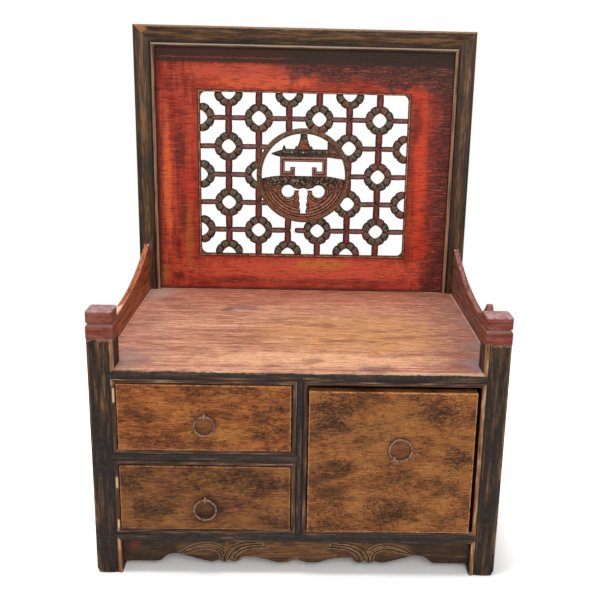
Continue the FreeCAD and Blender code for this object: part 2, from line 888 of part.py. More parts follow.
def roundel_roof():
    """Make the leaf-shaped roof and the petal between it and the ring."""
    inner = roundel_radius - roundel_band / 2
    roof = roundel_prism([(-roof_half_width, roof_eave), (-bracket_half_width, bracket_height),
                          (bracket_half_width, bracket_height), (roof_half_width, roof_eave),
                          (bracket_half_width, roof_ridge), (-bracket_half_width, roof_ridge)])
    reach_x = math.sqrt(inner ** 2 - roof_eave ** 2)
    shoulder = roundel_prism([(bracket_half_width, bracket_height), (reach_x, roof_eave - roof_shoulder_drop),
                              (bracket_half_width, math.sqrt(inner ** 2 - bracket_half_width ** 2))])
    foot = petal_foot_half_width
    neck = petal_neck_half_width
    low = roof_ridge - overrun
    shoulder_z = roof_ridge + foot - neck
    petal = roundel_prism([(-foot, low), (foot, low), (neck, shoulder_z), (neck, inner), (-neck, inner),
                           (-neck, shoulder_z)])
    return [roof, shoulder, petal]


def back_roundel():
    """Make the round carving: a ring with a bowl, a fret bracket, a roof and a petal in it."""
    ring = roundel_disc(roundel_radius, fret_front, roundel_back)
    ring = ring.cut(roundel_disc(roundel_radius - roundel_band, fret_front - overrun, roundel_back + overrun))
    pieces = [roundel_bowl()] + roundel_bracket() + roundel_roof()
    return joined(ring, *pieces)


# Arms

def arm_tongues(clearance):
    """Make the tongues at both ends of the right-hand arm, or their grooves with a clearance."""
    middle = arm_gap_half + arm_thickness / 2
    x0 = middle - arm_tongue_thickness / 2 - clearance
    x1 = middle + arm_tongue_thickness / 2 + clearance
    low = board_top + tenon_inset - clearance
    front_top = board_top + arm_low_height - tenon_inset + clearance
    back_top = board_top + arm_back_height - arm_tongue_top_inset + clearance
    front = block(x0, x1, post_depth - arm_tongue_length - clearance, post_depth, low, front_top)
    back = block(x0, x1, back_frame_depth, back_frame_depth + arm_tongue_length + clearance, low, back_top)
    return front.fuse(back)


def arm(spur):
    """Make the right-hand arm; the spur behind the front post is worn away on the left one."""
    x = arm_gap_half
    low = board_top + arm_low_height
    high = board_top + arm_back_height

    def point(depth, z):
        return at(x, depth, z)

    slope_depth = (back_frame_depth + arm_low_depth) / 2
    slope_z = low + (high - low) * arm_slope_share
    start = point(back_frame_depth, high)
    valley = point(arm_low_depth, low)
    edges = [arc_edge(start, point(slope_depth + arm_slope_sag, slope_z), valley)]
    if spur:
        tip = point(arm_spur_depth, board_top + arm_spur_height)
        tip_front = point(arm_spur_depth - arm_spur_width, board_top + arm_spur_height - arm_spur_tip_slope)
        heel_top = board_top + arm_heel_height
        heel = point(arm_spur_depth - arm_heel_length, heel_top)
        rise_depth = (arm_low_depth + arm_spur_depth) / 2 - arm_spur_rise_sag
        rise_middle = point(rise_depth, low + (arm_spur_height - arm_low_height) * arm_spur_rise_share)
        fall_middle = point(arm_spur_depth - arm_heel_length / 2, heel_top + arm_heel_rise)
        edges.append(arc_edge(valley, rise_middle, tip))
        edges.append(line_edge(tip, tip_front))
        edges.append(arc_edge(tip_front, fall_middle, heel))
        end = point(post_depth, heel_top)
        edges.append(line_edge(heel, end))
    else:
        end = point(post_depth, low)
        edges.append(line_edge(valley, end))
    edges.append(line_edge(end, point(post_depth, board_low)))
    edges.append(line_edge(point(post_depth, board_low), point(back_frame_depth, board_low)))
    edges.append(line_edge(point(back_frame_depth, board_low), start))
    board = Part.Face(Part.Wire(edges)).extrude(Vector(arm_thickness, 0, 0))
    return joined(board, arm_tongues(0.0))


# Drawer runners

def upper_runner_tenons(x0, clearance):
    """Make the stub tenons at both ends of an upper runner whose flange starts at x0.

    They are the mortises when a clearance is given.
    """
    margin = (runner_width - stub_tenon_width) / 2 - clearance
    rise = (runner_thickness - stub_tenon_thickness) / 2 - clearance
    z0 = mid_rail_top - runner_thickness + rise
    z1 = mid_rail_top - rise
    bearer_front = back_rail_depth - bearer_thickness
    front = block(x0 + margin, x0 + runner_width - margin, rail_depth - stub_tenon_length - clearance,
                  rail_depth, z0, z1)
    back = block(x0 + margin, x0 + runner_width - margin, bearer_front,
                 bearer_front + stub_tenon_length + clearance, z0, z1)
    return front.fuse(back)


upper_runner_starts = (-bay_edge, stile_left - runner_width)


def runner(inner_x, side, fence_x, wall_x, z0, z1, depth0, depth1):
    """Make a runner whose flange carries a drawer's side and whose fence guides it.

    The flange's edge is at inner_x, and the fence fills from fence_x to the wall at wall_x.
    """
    flange_x = inner_x + side * runner_width
    xs = sorted((flange_x, wall_x))
    fence_xs = sorted((fence_x, wall_x))
    flange = block(xs[0], xs[1], depth0, depth1, z0, z1)
    fence = block(fence_xs[0], fence_xs[1], depth0, depth1, z1, z1 + fence_height)
    return joined(flange, fence)


def upper_runner_left():
    depth1 = back_rail_depth - bearer_thickness
    shape = runner(-bay_edge, 1, -bay_edge, -side_rail_inner, mid_rail_top - runner_thickness, mid_rail_top,
                   rail_depth, depth1)
    shape = shape.cut(block(-half_front, -bay_edge, 0, post_depth, 0, post_top))
    return joined(shape, upper_runner_tenons(upper_runner_starts[0], 0.0))


def upper_runner_right():
    depth1 = back_rail_depth - bearer_thickness
    shape = runner(stile_left, -1, stile_left, partition_left, mid_rail_top - runner_thickness, mid_rail_top,
                   rail_depth, depth1)
    return joined(shape, upper_runner_tenons(upper_runner_starts[1], 0.0))


def upper_bearer():
    """Make the cross piece at the back that carries the upper runners' ends."""
    depth0 = back_rail_depth - bearer_thickness
    bearer = block(-back_opening, partition_left, depth0, back_rail_depth, mid_rail_low, mid_rail_top)
    return bearer.cut([upper_runner_tenons(x, joint_clearance) for x in upper_runner_starts])


def lower_runner_left():
    return runner(-bay_edge, 1, -bay_edge, -side_rail_inner, bottom_board_top, bottom_rail_top, post_depth,
                  back_frame_depth)


def lower_runner_middle_left():
    return runner(stile_left, -1, stile_left, partition_left, bottom_board_top, bottom_rail_top, rail_depth,
                  back_rail_depth)


def lower_runner_middle_right():
    return runner(stile_right, 1, stile_right, partition_right, bottom_board_top, bottom_rail_top, rail_depth,
                  back_rail_depth)


def lower_runner_right():
    edge = big_drawer.right + guide_gap
    return runner(edge, -1, edge, side_rail_inner, bottom_board_top, bottom_rail_top, post_depth,
                  back_frame_depth)


# Drawers

class Drawer:
    """A drawer: its front, two sides, back and bottom, with a split pin and a ring to pull it by."""

    def __init__(self, name, left, right, low, high, proud, pull, ring_diameter, ring_direction):
        self.name = name
        self.left, self.right = left, right
        self.low, self.high = low, high
        self.face = -proud
        pull_shift, pull_rise = pull
        self.pull_x = (left + right) / 2 + pull_shift
        self.pull_z = (low + high) / 2 + pull_rise
        self.ring_diameter = ring_diameter
        self.ring_direction = ring_direction
        self.front_back = self.face + drawer_front_thickness
        self.side_start = self.front_back - drawer_side_thickness
        self.end = back_rail_depth - drawer_end_gap
        self.side_top = self.high - drawer_side_drop
        self.bottom_low = self.low + drawer_bottom_lift

    def bottom_box(self, clearance):
        """Make the bottom, or the groove round it when a clearance is given."""
        reach = drawer_side_thickness - drawer_groove_depth
        return block(self.left + reach - clearance, self.right - reach + clearance,
                     self.front_back - drawer_groove_depth - clearance, self.end,
                     self.bottom_low, self.bottom_low + drawer_bottom_thickness + clearance)

    def front(self):
        board = block(self.left, self.right, self.face, self.front_back, self.low, self.high)
        for x0, x1 in ((self.left, self.left + drawer_side_thickness),
                       (self.right - drawer_side_thickness, self.right)):
            board = board.cut(block(x0, x1, self.side_start, self.front_back, self.low, self.side_top))
        hole = Part.makeCylinder(pin_radius + pin_hole_clearance, drawer_front_thickness + 2 * overrun,
                                 at(self.pull_x, self.face - overrun, self.pull_z), Vector(0, 1, 0))
        return board.cut(self.bottom_box(groove_clearance)).cut(hole)

    def side(self, x0):
        board = block(x0, x0 + drawer_side_thickness, self.side_start, self.end, self.low, self.side_top)
        return board.cut(self.bottom_box(groove_clearance))

    def side_left(self):
        return self.side(self.left)

    def side_right(self):
        return self.side(self.right - drawer_side_thickness)

    def back(self):
        z0 = self.bottom_low + drawer_bottom_thickness + groove_clearance
        return block(self.left + drawer_side_thickness, self.right - drawer_side_thickness,
                     self.end - drawer_back_thickness, self.end, z0, self.side_top)

    def bottom(self):
        return self.bottom_box(0.0)

    def eye_centre(self):
        return at(self.pull_x, self.face - eye_standoff, self.pull_z)

    def hinge_axis(self):
        """Give the axis that the ring turns about: square to the way the ring lies from its pin."""
        angle = math.radians(self.ring_direction)
        return Vector(math.sin(angle), 0, -math.cos(angle))

    def pin(self):
        """Make the split pin: an eye in front, a shank through the drawer front, two bent legs."""
        eye_radius = eye_hole_radius + eye_wire / 2
        eye = Part.makeTorus(eye_radius, eye_wire / 2, self.eye_centre(), self.hinge_axis())
        shank_start = self.face - eye_standoff + eye_radius
        leg_depth = self.front_back + pin_leg_gap + pin_leg_radius
        shank_end = leg_depth + pin_leg_radius + pin_end_cover
        shank = Part.makeCylinder(pin_radius, shank_end - shank_start,
                                  at(self.pull_x, shank_start, self.pull_z), Vector(0, 1, 0))
        legs = Part.makeCylinder(pin_leg_radius, 2 * pin_leg_length,
                                 at(self.pull_x, leg_depth, self.pull_z - pin_leg_length), Vector(0, 0, 1))
        return joined(eye, shank, legs)

    def ring(self):
        """Make the ring, hanging or leaning back on the drawer front as its direction says."""
        radius = (self.ring_diameter - ring_wire) / 2
        angle = math.radians(self.ring_direction)
        lean = 0.0
        if self.ring_direction > 0:
            lean = math.asin((eye_standoff - ring_wire / 2 - ring_lean_gap) / (2 * radius))
        along = Vector(math.cos(angle) * math.cos(lean), math.sin(lean), math.sin(angle) * math.cos(lean))
        centre = self.eye_centre() + along * radius
        normal = along.cross(self.hinge_axis())
        return Part.makeTorus(radius, ring_wire / 2, centre, normal)

    def pieces(self):
        return {
            self.name + "_front": self.front(),
            self.name + "_side_left": self.side_left(),
            self.name + "_side_right": self.side_right(),
            self.name + "_back": self.back(),
            self.name + "_bottom": self.bottom(),
            self.name + "_pin": self.pin(),
            self.name + "_ring": self.ring(),
        }


straight_down = -90.0
small_left = -bay_edge + drawer_reveal
small_right = stile_left - drawer_reveal
upper_drawer = Drawer("upper_drawer", small_left, small_right, mid_rail_top + runner_gap,
                      top_rail_low - drawer_reveal, 0.0, (0.0, upper_pull_rise),
                      upper_ring_diameter, straight_down)
lower_drawer = Drawer("lower_drawer", small_left, small_right, bottom_rail_top + runner_gap,
                      mid_rail_low - drawer_reveal, 0.0, (0.0, lower_pull_rise),
                      lower_ring_diameter, straight_down)
big_drawer = Drawer("big_drawer", stile_right + drawer_reveal, bay_edge - big_drawer_right_gap,
                    bottom_rail_top + runner_gap, top_rail_low - big_drawer_top_gap, big_drawer_proud,
                    (big_pull_shift, big_pull_rise), big_ring_diameter, big_ring_direction)


def all_pieces():
    """Make every piece of the cabinet, by name."""
    side_panel = side_panel_box(0.0)
    pieces = {
        "front_post_left": front_post_left(),
        "front_post_right": front_post_right(),
        "front_top_rail": front_top_rail(),
        "front_mid_rail": front_mid_rail(),
        "front_bottom_rail": front_bottom_rail(),
        "front_mid_stile": front_mid_stile(),
        "front_apron": apron_front(),
        "side_top_rail_right": side_top_rail(),
        "side_top_rail_left": mirrored(side_top_rail()),
        "side_bottom_rail_right": side_bottom_rail(),
        "side_bottom_rail_left": mirrored(side_bottom_rail()),
        "side_panel_right": side_panel,
        "side_panel_left": mirrored(side_panel),
        "top_board": top_board(),
        "bottom_board": bottom_board(),
        "partition": partition(),
        "arm_right": arm(True),
        "arm_left": mirrored(arm(False)),
        "back_post_left": back_post_left(),
        "back_post_right": back_post_right(),
        "back_crest_rail": back_crest_rail(),
        "back_mid_rail": back_mid_rail(),
        "back_bottom_rail": back_bottom_rail(),
        "lower_back_panel": lower_back_panel(),
        "back_panel": back_panel(),
        "back_fretwork": back_fretwork(),
        "back_roundel": back_roundel(),
        "upper_bearer": upper_bearer(),
        "upper_runner_left": upper_runner_left(),
        "upper_runner_right": upper_runner_right(),
        "lower_runner_left": lower_runner_left(),
        "lower_runner_middle_left": lower_runner_middle_left(),
        "lower_runner_middle_right": lower_runner_middle_right(),
        "lower_runner_right": lower_runner_right(),
    }
    for drawer in (upper_drawer, lower_drawer, big_drawer):
        pieces.update(drawer.pieces())
    return pieces


def main():
    os.makedirs("parts", exist_ok=True)
    for name, shape in all_pieces().items():
        shape.exportStep("parts/" + name + ".step")
        box = shape.BoundBox
        print("%-28s solids %d valid %s volume %.0f  X %.1f %.1f  Y %.1f %.1f  Z %.1f %.1f" % (
            name, len(shape.Solids), shape.isValid(), shape.Volume,
            box.XMin, box.XMax, box.YMin, box.YMax, box.ZMin, box.ZMax))


main()
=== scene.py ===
import math

import bmesh
import bpy
import numpy as np
from mathutils import Matrix, Vector


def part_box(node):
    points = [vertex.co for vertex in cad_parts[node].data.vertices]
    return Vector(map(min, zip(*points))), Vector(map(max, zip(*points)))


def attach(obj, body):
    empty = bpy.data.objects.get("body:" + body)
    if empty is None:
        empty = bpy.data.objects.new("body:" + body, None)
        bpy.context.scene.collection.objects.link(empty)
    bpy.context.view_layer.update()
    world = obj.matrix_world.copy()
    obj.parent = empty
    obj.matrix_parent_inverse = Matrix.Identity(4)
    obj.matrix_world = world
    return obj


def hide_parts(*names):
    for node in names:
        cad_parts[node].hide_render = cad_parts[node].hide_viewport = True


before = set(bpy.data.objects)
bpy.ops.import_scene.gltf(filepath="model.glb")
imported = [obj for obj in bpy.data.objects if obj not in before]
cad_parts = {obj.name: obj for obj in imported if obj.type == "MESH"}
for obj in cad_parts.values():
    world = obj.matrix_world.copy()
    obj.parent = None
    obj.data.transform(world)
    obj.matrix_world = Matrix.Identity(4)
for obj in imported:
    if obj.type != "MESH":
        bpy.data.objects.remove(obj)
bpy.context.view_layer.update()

MM = 0.001


# Colours

def colour(text):
    """Turn an sRGB colour such as 8a5232 into the linear colour that Blender works with."""
    linear = []
    for start in (0, 2, 4):
        value = int(text[start:start + 2], 16) / 255
        linear.append(value / 12.92 if value <= 0.04045 else ((value + 0.055) / 1.055) ** 2.4)
    return (*linear, 1.0)


# Node trees

def feed(tree, socket, value):
    """Give a socket a plain value, another socket or a node's first open output."""
    if isinstance(value, bpy.types.Node):
        value = next(s for s in value.outputs if s.enabled)
    if isinstance(value, bpy.types.NodeSocket):
        tree.links.new(value, socket)
    elif value is not None:
        socket.default_value = value


def add(tree, kind, *inputs, **settings):
    """Add a node with its settings and links.

    The inputs fill its open sockets in order. A setting with a capital names a socket, with _ for each
    space; any other is a property of the node.
    """
    node = tree.nodes.new(kind)
    for name, value in settings.items():
        if not name[0].isupper():
            setattr(node, name, value)
    sockets = [s for s in node.inputs if s.enabled]
    for socket, value in zip(sockets, inputs):
        feed(tree, socket, value)
    for name, value in settings.items():
        if name[0].isupper():
            feed(tree, node.inputs[name.replace("_", " ")], value)
    return node


class Paint:
    """A material in the making, with the place on the piece in millimetres at hand."""

    def __init__(self, name):
        self.material = bpy.data.materials.new(name)
        self.material.use_nodes = True
        self.tree = self.material.node_tree
        self.tree.nodes.clear()
        own = self.add("TexCoord").outputs["Object"]
        self.place = self.add("VectorMath", own, (MM, MM, MM), operation="DIVIDE")
        self.x, self.y, self.z = self.add("SeparateXYZ", self.place).outputs
        self.ragged = self.cloud(7.0)
        self.grit = self.cloud(1.5, 2.0, roughness=0.7)

    def add(self, kind, *inputs, **settings):
        return add(self.tree, "ShaderNode" + kind, *inputs, **settings)

    def cloud(self, size, detail=3.0, shift=0.0, roughness=0.55):
        """Cloudy noise about 0.5 with blots of this size in millimetres, or of one size along each axis."""
        sizes = size if isinstance(size, tuple) else (size, size, size)
        scaled = self.add("VectorMath", self.place, sizes, operation="DIVIDE")
        moved = self.add("VectorMath", scaled, (shift, 2 * shift, 3 * shift), operation="ADD")
        return self.add("TexNoise", moved, Scale=1.0, Detail=detail, Roughness=roughness)

    def streaks(self, along, length, width, detail=3.0, shift=0.0):
        """Noise drawn out along one axis, as wood grain and rubbed paint are."""
        sizes = [width, width, width]
        sizes["xyz".index(along)] = length
        return self.cloud(tuple(sizes), detail, shift)

    def total(self, *parts, start=0.0):
        """Add up values, each times its weight."""
        for value, weight in parts:
            start = self.add("Math", value, weight, start, operation="MULTIPLY_ADD")
        return start

    def off_side(self):
        """How far a point is from the middle plane of the cabinet, in millimetres."""
        return self.add("Math", self.x, operation="ABSOLUTE")

    def flat_reach(self, x, z):
        """How far a point is from a place (x, z) as seen from the front, in millimetres."""
        offset = self.add("VectorMath", self.place, (x, 0.0, z), operation="SUBTRACT")
        flat = self.add("VectorMath", offset, (1.0, 0.0, 1.0), operation="MULTIPLY")
        return self.add("VectorMath", flat, operation="LENGTH").outputs["Value"]

    def edge_distance(self, node):
        """How far a point of a box-shaped piece is from its nearest edge, in millimetres."""
        low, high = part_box(node)
        gaps = []
        for value, start, end in zip((self.x, self.y, self.z), low, high):
            half = (end - start) / MM / 2
            off_middle = self.add("Math", value, (start + end) / MM / 2, operation="SUBTRACT")
            off_middle = self.add("Math", off_middle, operation="ABSOLUTE")
            gaps.append(self.add("Math", half, off_middle, operation="SUBTRACT"))
        small = self.add("Math", gaps[0], gaps[1], operation="MINIMUM")
        large = self.add("Math", gaps[0], gaps[1], operation="MAXIMUM")
        rest = self.add("Math", large, gaps[2], operation="MINIMUM")
        return self.add("Math", small, rest, operation="MAXIMUM")

    def layer(self, base, tint, where, low=0.0, high=1.0, strength=1.0, within=()):
        """Lay a tint over a base where a value goes from low to high, inside whatever else bounds it."""
        share = self.add("MapRange", where, low, high, 0.0, strength, interpolation_type="SMOOTHSTEP")
        for bound in within:
            share = self.add("Math", share, bound, operation="MULTIPLY")
        if isinstance(base, str):
            base = colour(base)
        if isinstance(tint, str):
            tint = colour(tint)
        return self.add("Mix", share, base, tint, data_type="RGBA")

    def layers(self, base, *coats):
        """Lay tints one over the other; each coat holds what layer takes after its base."""
        for coating in coats:
            base = self.layer(base, *coating)
        return base

    def band(self, value, low, high, soft=0.5):
        """1 between low and high, falling to 0 over a soft edge."""
        rise = self.add("MapRange", value, low - soft, low + soft)
        fall = self.add("MapRange", value, high + soft, high - soft)
        return self.add("Math", rise, fall, operation="MULTIPLY")

    def stripe(self, base, tint, value, low, high, soft=0.5, strength=1.0, within=()):
        """Lay a tint where a value is between low and high."""
        return self.layer(base, tint, self.band(value, low, high, soft), strength=strength, within=within)

    def spot(self, centre, reach, raggedness=0.9):
        """1 in the middle of a ragged spot and 0 outside it; centre and reach are in millimetres."""
        offset = self.add("VectorMath", self.place, centre, operation="SUBTRACT")
        scaled = self.add("VectorMath", offset, reach, operation="DIVIDE")
        far = self.add("VectorMath", scaled, operation="LENGTH").outputs["Value"]
        far = self.total((self.ragged, 1.4 * raggedness), (self.cloud(22.0, 2.0, 5.5), 1.2 * raggedness),
                         start=self.add("Math", far, 1.3 * raggedness, operation="SUBTRACT"))
        return self.add("MapRange", far, 1.2, 0.3, interpolation_type="SMOOTHSTEP")

    def dabs(self, base, facing, face, *places, raggedness=0.9, deep=60.0):
        """Lay ragged spots on a flat side that faces along an axis and lies at face on it.

        Each place is (tint, centre, reach, strength), where centre and reach hold the two values along
        the side's own axes; deep is how far a spot goes into the piece.
        """
        turn = "xyz".index(facing)
        for tint, centre, reach, strength in places:
            centre = (*centre[:turn], face, *centre[turn:])
            reach = (*reach[:turn], deep, *reach[turn:])
            base = self.layer(base, tint, self.spot(centre, reach, raggedness), strength=strength)
        return base

    def carved(self, base, groove_shade, rubbed, strength=0.8):
        """Darken a colour where the carving is grooved, as painted shade, and lighten it on the crests, as a
        patchy painted highlight in the colour rubbed.
        """
        carving = self.add("Attribute", attribute_name="carving").outputs["Fac"]
        patchy = self.add("MapRange", self.ragged, 0.3, 0.62)
        # Painted highlight on the crests and painted shade in the grooves, on bar flanks and along edges
        return self.layers(base, (rubbed, carving, 0.0, -0.9, 0.75, [patchy]),
                           (groove_shade, carving, 0.0, 0.9, strength))

    def crazing(self, size, line, shift=0.0):
        """1 on the hair lines of a crazed paint film and 0 between them; size is a cell's along each axis."""
        wander = self.cloud(size[0], 2.0, shift)
        bent = self.add("VectorMath", wander, size, operation="MULTIPLY")
        moved = self.add("VectorMath", self.place, bent, operation="ADD")
        scaled = self.add("VectorMath", moved, size, operation="DIVIDE")
        cells = self.add("TexVoronoi", scaled, feature="DISTANCE_TO_EDGE", Scale=1.0)
        return self.add("MapRange", cells.outputs["Distance"], line, 0.3 * line)

    def finish(self, base, roughness, height, relief=0.3, metallic=0.0):
        """Join the colour, the roughness and the fine relief in a surface."""
        bump = self.add("Bump", Distance=relief * MM, Height=height)
        surface = self.add("BsdfPrincipled", base, metallic, roughness, Normal=bump,
                           Specular_IOR_Level=0.2)
        self.add("OutputMaterial", surface)
        return self.material


# Surfaces of the painted frame

board_top = 326.4
apron_face = -220.0
panel_face = 222.0


def worn_coat(paint, along, coats, woods, threshold, edges=None, shift=0.0, extra=(), soft=0.04):
    """Lacquer rubbed through in broken streaks and along the edges to brown undercoat and ochre wood.

    edges is the box-shaped node and how far its edges are worn. Gives the colour, how bare each place
    is (0 to 1) and a height for the relief.
    """
    broad = paint.streaks(along, 75.0, 6.0, 5.0, shift)
    fine = paint.streaks(along, 20.0, 1.5, 3.0, shift + 3.1)
    parts = [(broad, 0.6), (fine, 0.27), (paint.grit, 0.13), *extra]
    if edges:
        node, reach = edges
        near = paint.add("MapRange", paint.edge_distance(node), reach, 0.0)
        broken = paint.total((paint.ragged, 0.5), start=-0.1)
        parts.append((paint.add("Math", near, broken, operation="MULTIPLY"), 1.0))
    rubbed = paint.total(*parts)
    start, end = threshold - soft / 2, threshold + 1.5 * soft
    timber = paint.layers(woods[0], (woods[1], rubbed, threshold + soft, threshold + 3 * soft),
                          (coats[0], fine, 0.5, 0.36, 0.5))
    tone = paint.layers(coats[0], (coats[1], paint.ragged, 0.35, 0.7), (timber, rubbed, start, end))
    bareness = paint.add("MapRange", rubbed, start, end)
    return tone, bareness, paint.total((fine, 0.5), (bareness, -0.5))


def board_tone(paint):
    """Wood worn bare by hands and dishes, red stain left at the back and the ends; also gives the grain."""
    broad = paint.streaks("x", 90.0, 7.0, 5.0, 1.3)
    fine = paint.streaks("x", 26.0, 2.0, 4.0, 2.2)
    ticks = paint.streaks("x", 12.0, 1.6, 2.0, 8.0)
    base = paint.layer("a3634e", "dda280", broad, 0.32, 0.68)
    base = paint.dabs(
        base, "z", board_top,
        ("cf9055", (90.0, -50.0), (200.0, 140.0), 0.65),
        ("f0b68b", (20.0, -180.0), (230.0, 45.0), 0.7),
        raggedness=0.6,
    )
    back = paint.total((paint.ragged, 90.0), start=paint.y)
    left = paint.total((paint.ragged, 70.0), start=paint.x)
    dust = paint.total((paint.cloud(40.0, 4.0, 16.0), 130.0), (paint.ragged, 30.0), start=paint.x)
    base = paint.layers(
        base,
        ("a35a44", back, 60.0, 260.0, 0.8),
        ("a9756b", left, -110.0, -250.0, 0.55),
        ("8f5c4e", dust, 245.0, 340.0, 0.75),
        ("6b3d30", fine, 0.52, 0.66, 0.65),
        ("f0c8ac", fine, 0.44, 0.3, 0.6),
        ("5d3528", ticks, 0.6, 0.7, 0.6),
        ("f3cdb2", ticks, 0.38, 0.28, 0.4),
        ("7a4a3c", paint.grit, 0.55, 0.7, 0.35),
    )
    dents = [
        ("75524f", (-104.0, 92.0), (38.0, 30.0), 1.1),
        ("604440", (-128.0, 78.0), (16.0, 14.0), 1.0),
        ("c7a5a2", (-104.0, 76.0), (24.0, 7.0), 0.9),
        ("80564c", (268.0, -195.0), (60.0, 26.0), 0.9),
    ]
    for tint, centre, reach, raggedness in dents:
        base = paint.dabs(base, "z", board_top, (tint, centre, reach, 0.6), raggedness=raggedness, deep=40.0)
    seam = paint.total((paint.ragged, 5.0), start=paint.y)
    base = paint.stripe(base, "5f382c", seam, -212.0, -210.6, 0.5, 0.5)
    base = paint.dabs(base, "z", board_top, ("5b4a4c", (110.0, -218.0), (34.0, 12.0), 0.6), deep=40.0)
    corner = paint.total((paint.y, -0.14), start=dust)
    base = paint.layers(
        base,
        ("7d4c3c", paint.cloud((60.0, 26.0, 26.0), 4.0, 14.0), 0.52, 0.68, 0.55),
        ("8a7477", corner, 335.0, 385.0, 0.7),
        ("5d382e", paint.cloud((7.0, 3.0, 3.0), 4.0, 31.0, 0.7), 0.55, 0.68, 0.6),
    )
    base = paint.dabs(base, "z", board_top, ("a3897a", (-262.0, 200.0), (40.0, 60.0), 0.7), deep=40.0)
    base = paint.dabs(base, "z", board_top, ("8a706c", (-268.0, -186.0), (70.0, 60.0), 0.55),
                      raggedness=0.8, deep=40.0)
    rim = paint.total((paint.ragged, 6.0), start=paint.off_side())
    return paint.stripe(base, "dcb498", rim, 286.4, 289.4, 1.0, 0.6), fine


def board_paint():
    """The top board: old softwood, rubbed matt."""
    paint = Paint("worn_board")
    tone, grain = board_tone(paint)
    return paint.finish(tone, 0.6, grain, relief=0.25)


def lacquered_bar(node, along, beads, shift, bare_top):
    """Black lacquer of a front bar: old oil-based black over brown, thin on the crown and gone on the beads.

    beads lists the (low, high) ranges of the rounded beads across the bar in millimetres; with
    bare_top the bar's top is worn to the wood like the board behind it.
    """
    paint = Paint(node)
    across, wear = (paint.z, 0.06) if along == "x" else (paint.x, 0.01)
    by_beads = [(paint.band(across, low - 4.0, high + 4.0, 4.0), wear) for low, high in beads]
    tone, bareness, height = worn_coat(paint, along, ("2b2623", "3d332c"), ("5f493a", "977459"), 0.54,
                                       (node, 3.0), shift, by_beads, 0.05)
    rubbed = paint.streaks(along, 45.0, 3.0, 4.0, shift + 7.7)
    worn = paint.layers("382a23", ("704f3f", rubbed, 0.38, 0.62), ("a5836c", rubbed, 0.56, 0.7))
    for number, (low, high) in enumerate(beads):
        crease_shade = low if number else high
        tone = paint.stripe(tone, worn, across, low + 0.6, high - 0.6, 0.6)
        # Painted shade: a dark line in the crease beside each bead
        tone = paint.stripe(tone, "1d1713", across, crease_shade - 0.5, crease_shade + 0.5, strength=0.85)
    if bare_top:
        wavy = paint.total((paint.ragged, 3.0), (rubbed, 4.0), start=paint.z)
        wood, _ = board_tone(paint)
        front = paint.total((paint.ragged, 4.0), (paint.x, -0.008), start=paint.y)
        wood = paint.layer(wood, "dcb08a", front, -228.5, -231.5, 0.6)
        tone = paint.layer(tone, wood, wavy, board_top - 0.8, board_top + 0.6)
    gloss = paint.add("MapRange", bareness, 0.0, 1.0, 0.42, 0.7)
    return paint.finish(tone, gloss, height)


def bare_timber(name, along, tones, shift=0.0):
    """Plain unpainted softwood, oxidised grey-brown, with its grain along one axis."""
    paint = Paint(name)
    broad = paint.streaks(along, 220.0, 12.0, 3.0, shift)
    fine = paint.streaks(along, 90.0, 1.1, 2.0, shift + 4.0)
    tone = paint.layers(tones[0], (tones[1], broad, 0.35, 0.65), (tones[2], fine, 0.5, 0.62, 0.45))
    return paint.finish(tone, 0.75, fine, relief=0.25)


def red_cap(paint, side):
    """The colour of a post's oxide-red block and cap, dusty on top."""
    wavy_top = paint.total((paint.ragged, 2.0), start=paint.z)
    dusty = paint.layers("96706a", ("b39692", paint.ragged, 0.35, 0.65),
                         ("7d504a", paint.grit, 0.5, 0.34, 0.5))
    red = paint.layers(
        "7b372b",
        ("9b5a4c", paint.streaks("x", 22.0, 5.0, 4.0, side + 9.0), 0.35, 0.65),
        ("97423a", paint.cloud(16.0, 2.0, side + 12.0), 0.5, 0.65, 0.5),
        ("4b2420", paint.grit, 0.46, 0.32, 0.45),
    )
    red = paint.stripe(red, "b07f78", paint.z, 387.6, 391.2, strength=0.8)
    # Painted shade in the neck groove above the ledge
    red = paint.stripe(red, "592a24", paint.z, 391.4, 392.8, strength=0.8)
    red = paint.layer(red, dusty, wavy_top, 407.5, 411.0)
    if side > 0:
        red = paint.stripe(red, "5d302a", paint.z, 401.4, 402.8, strength=0.8)
    return red


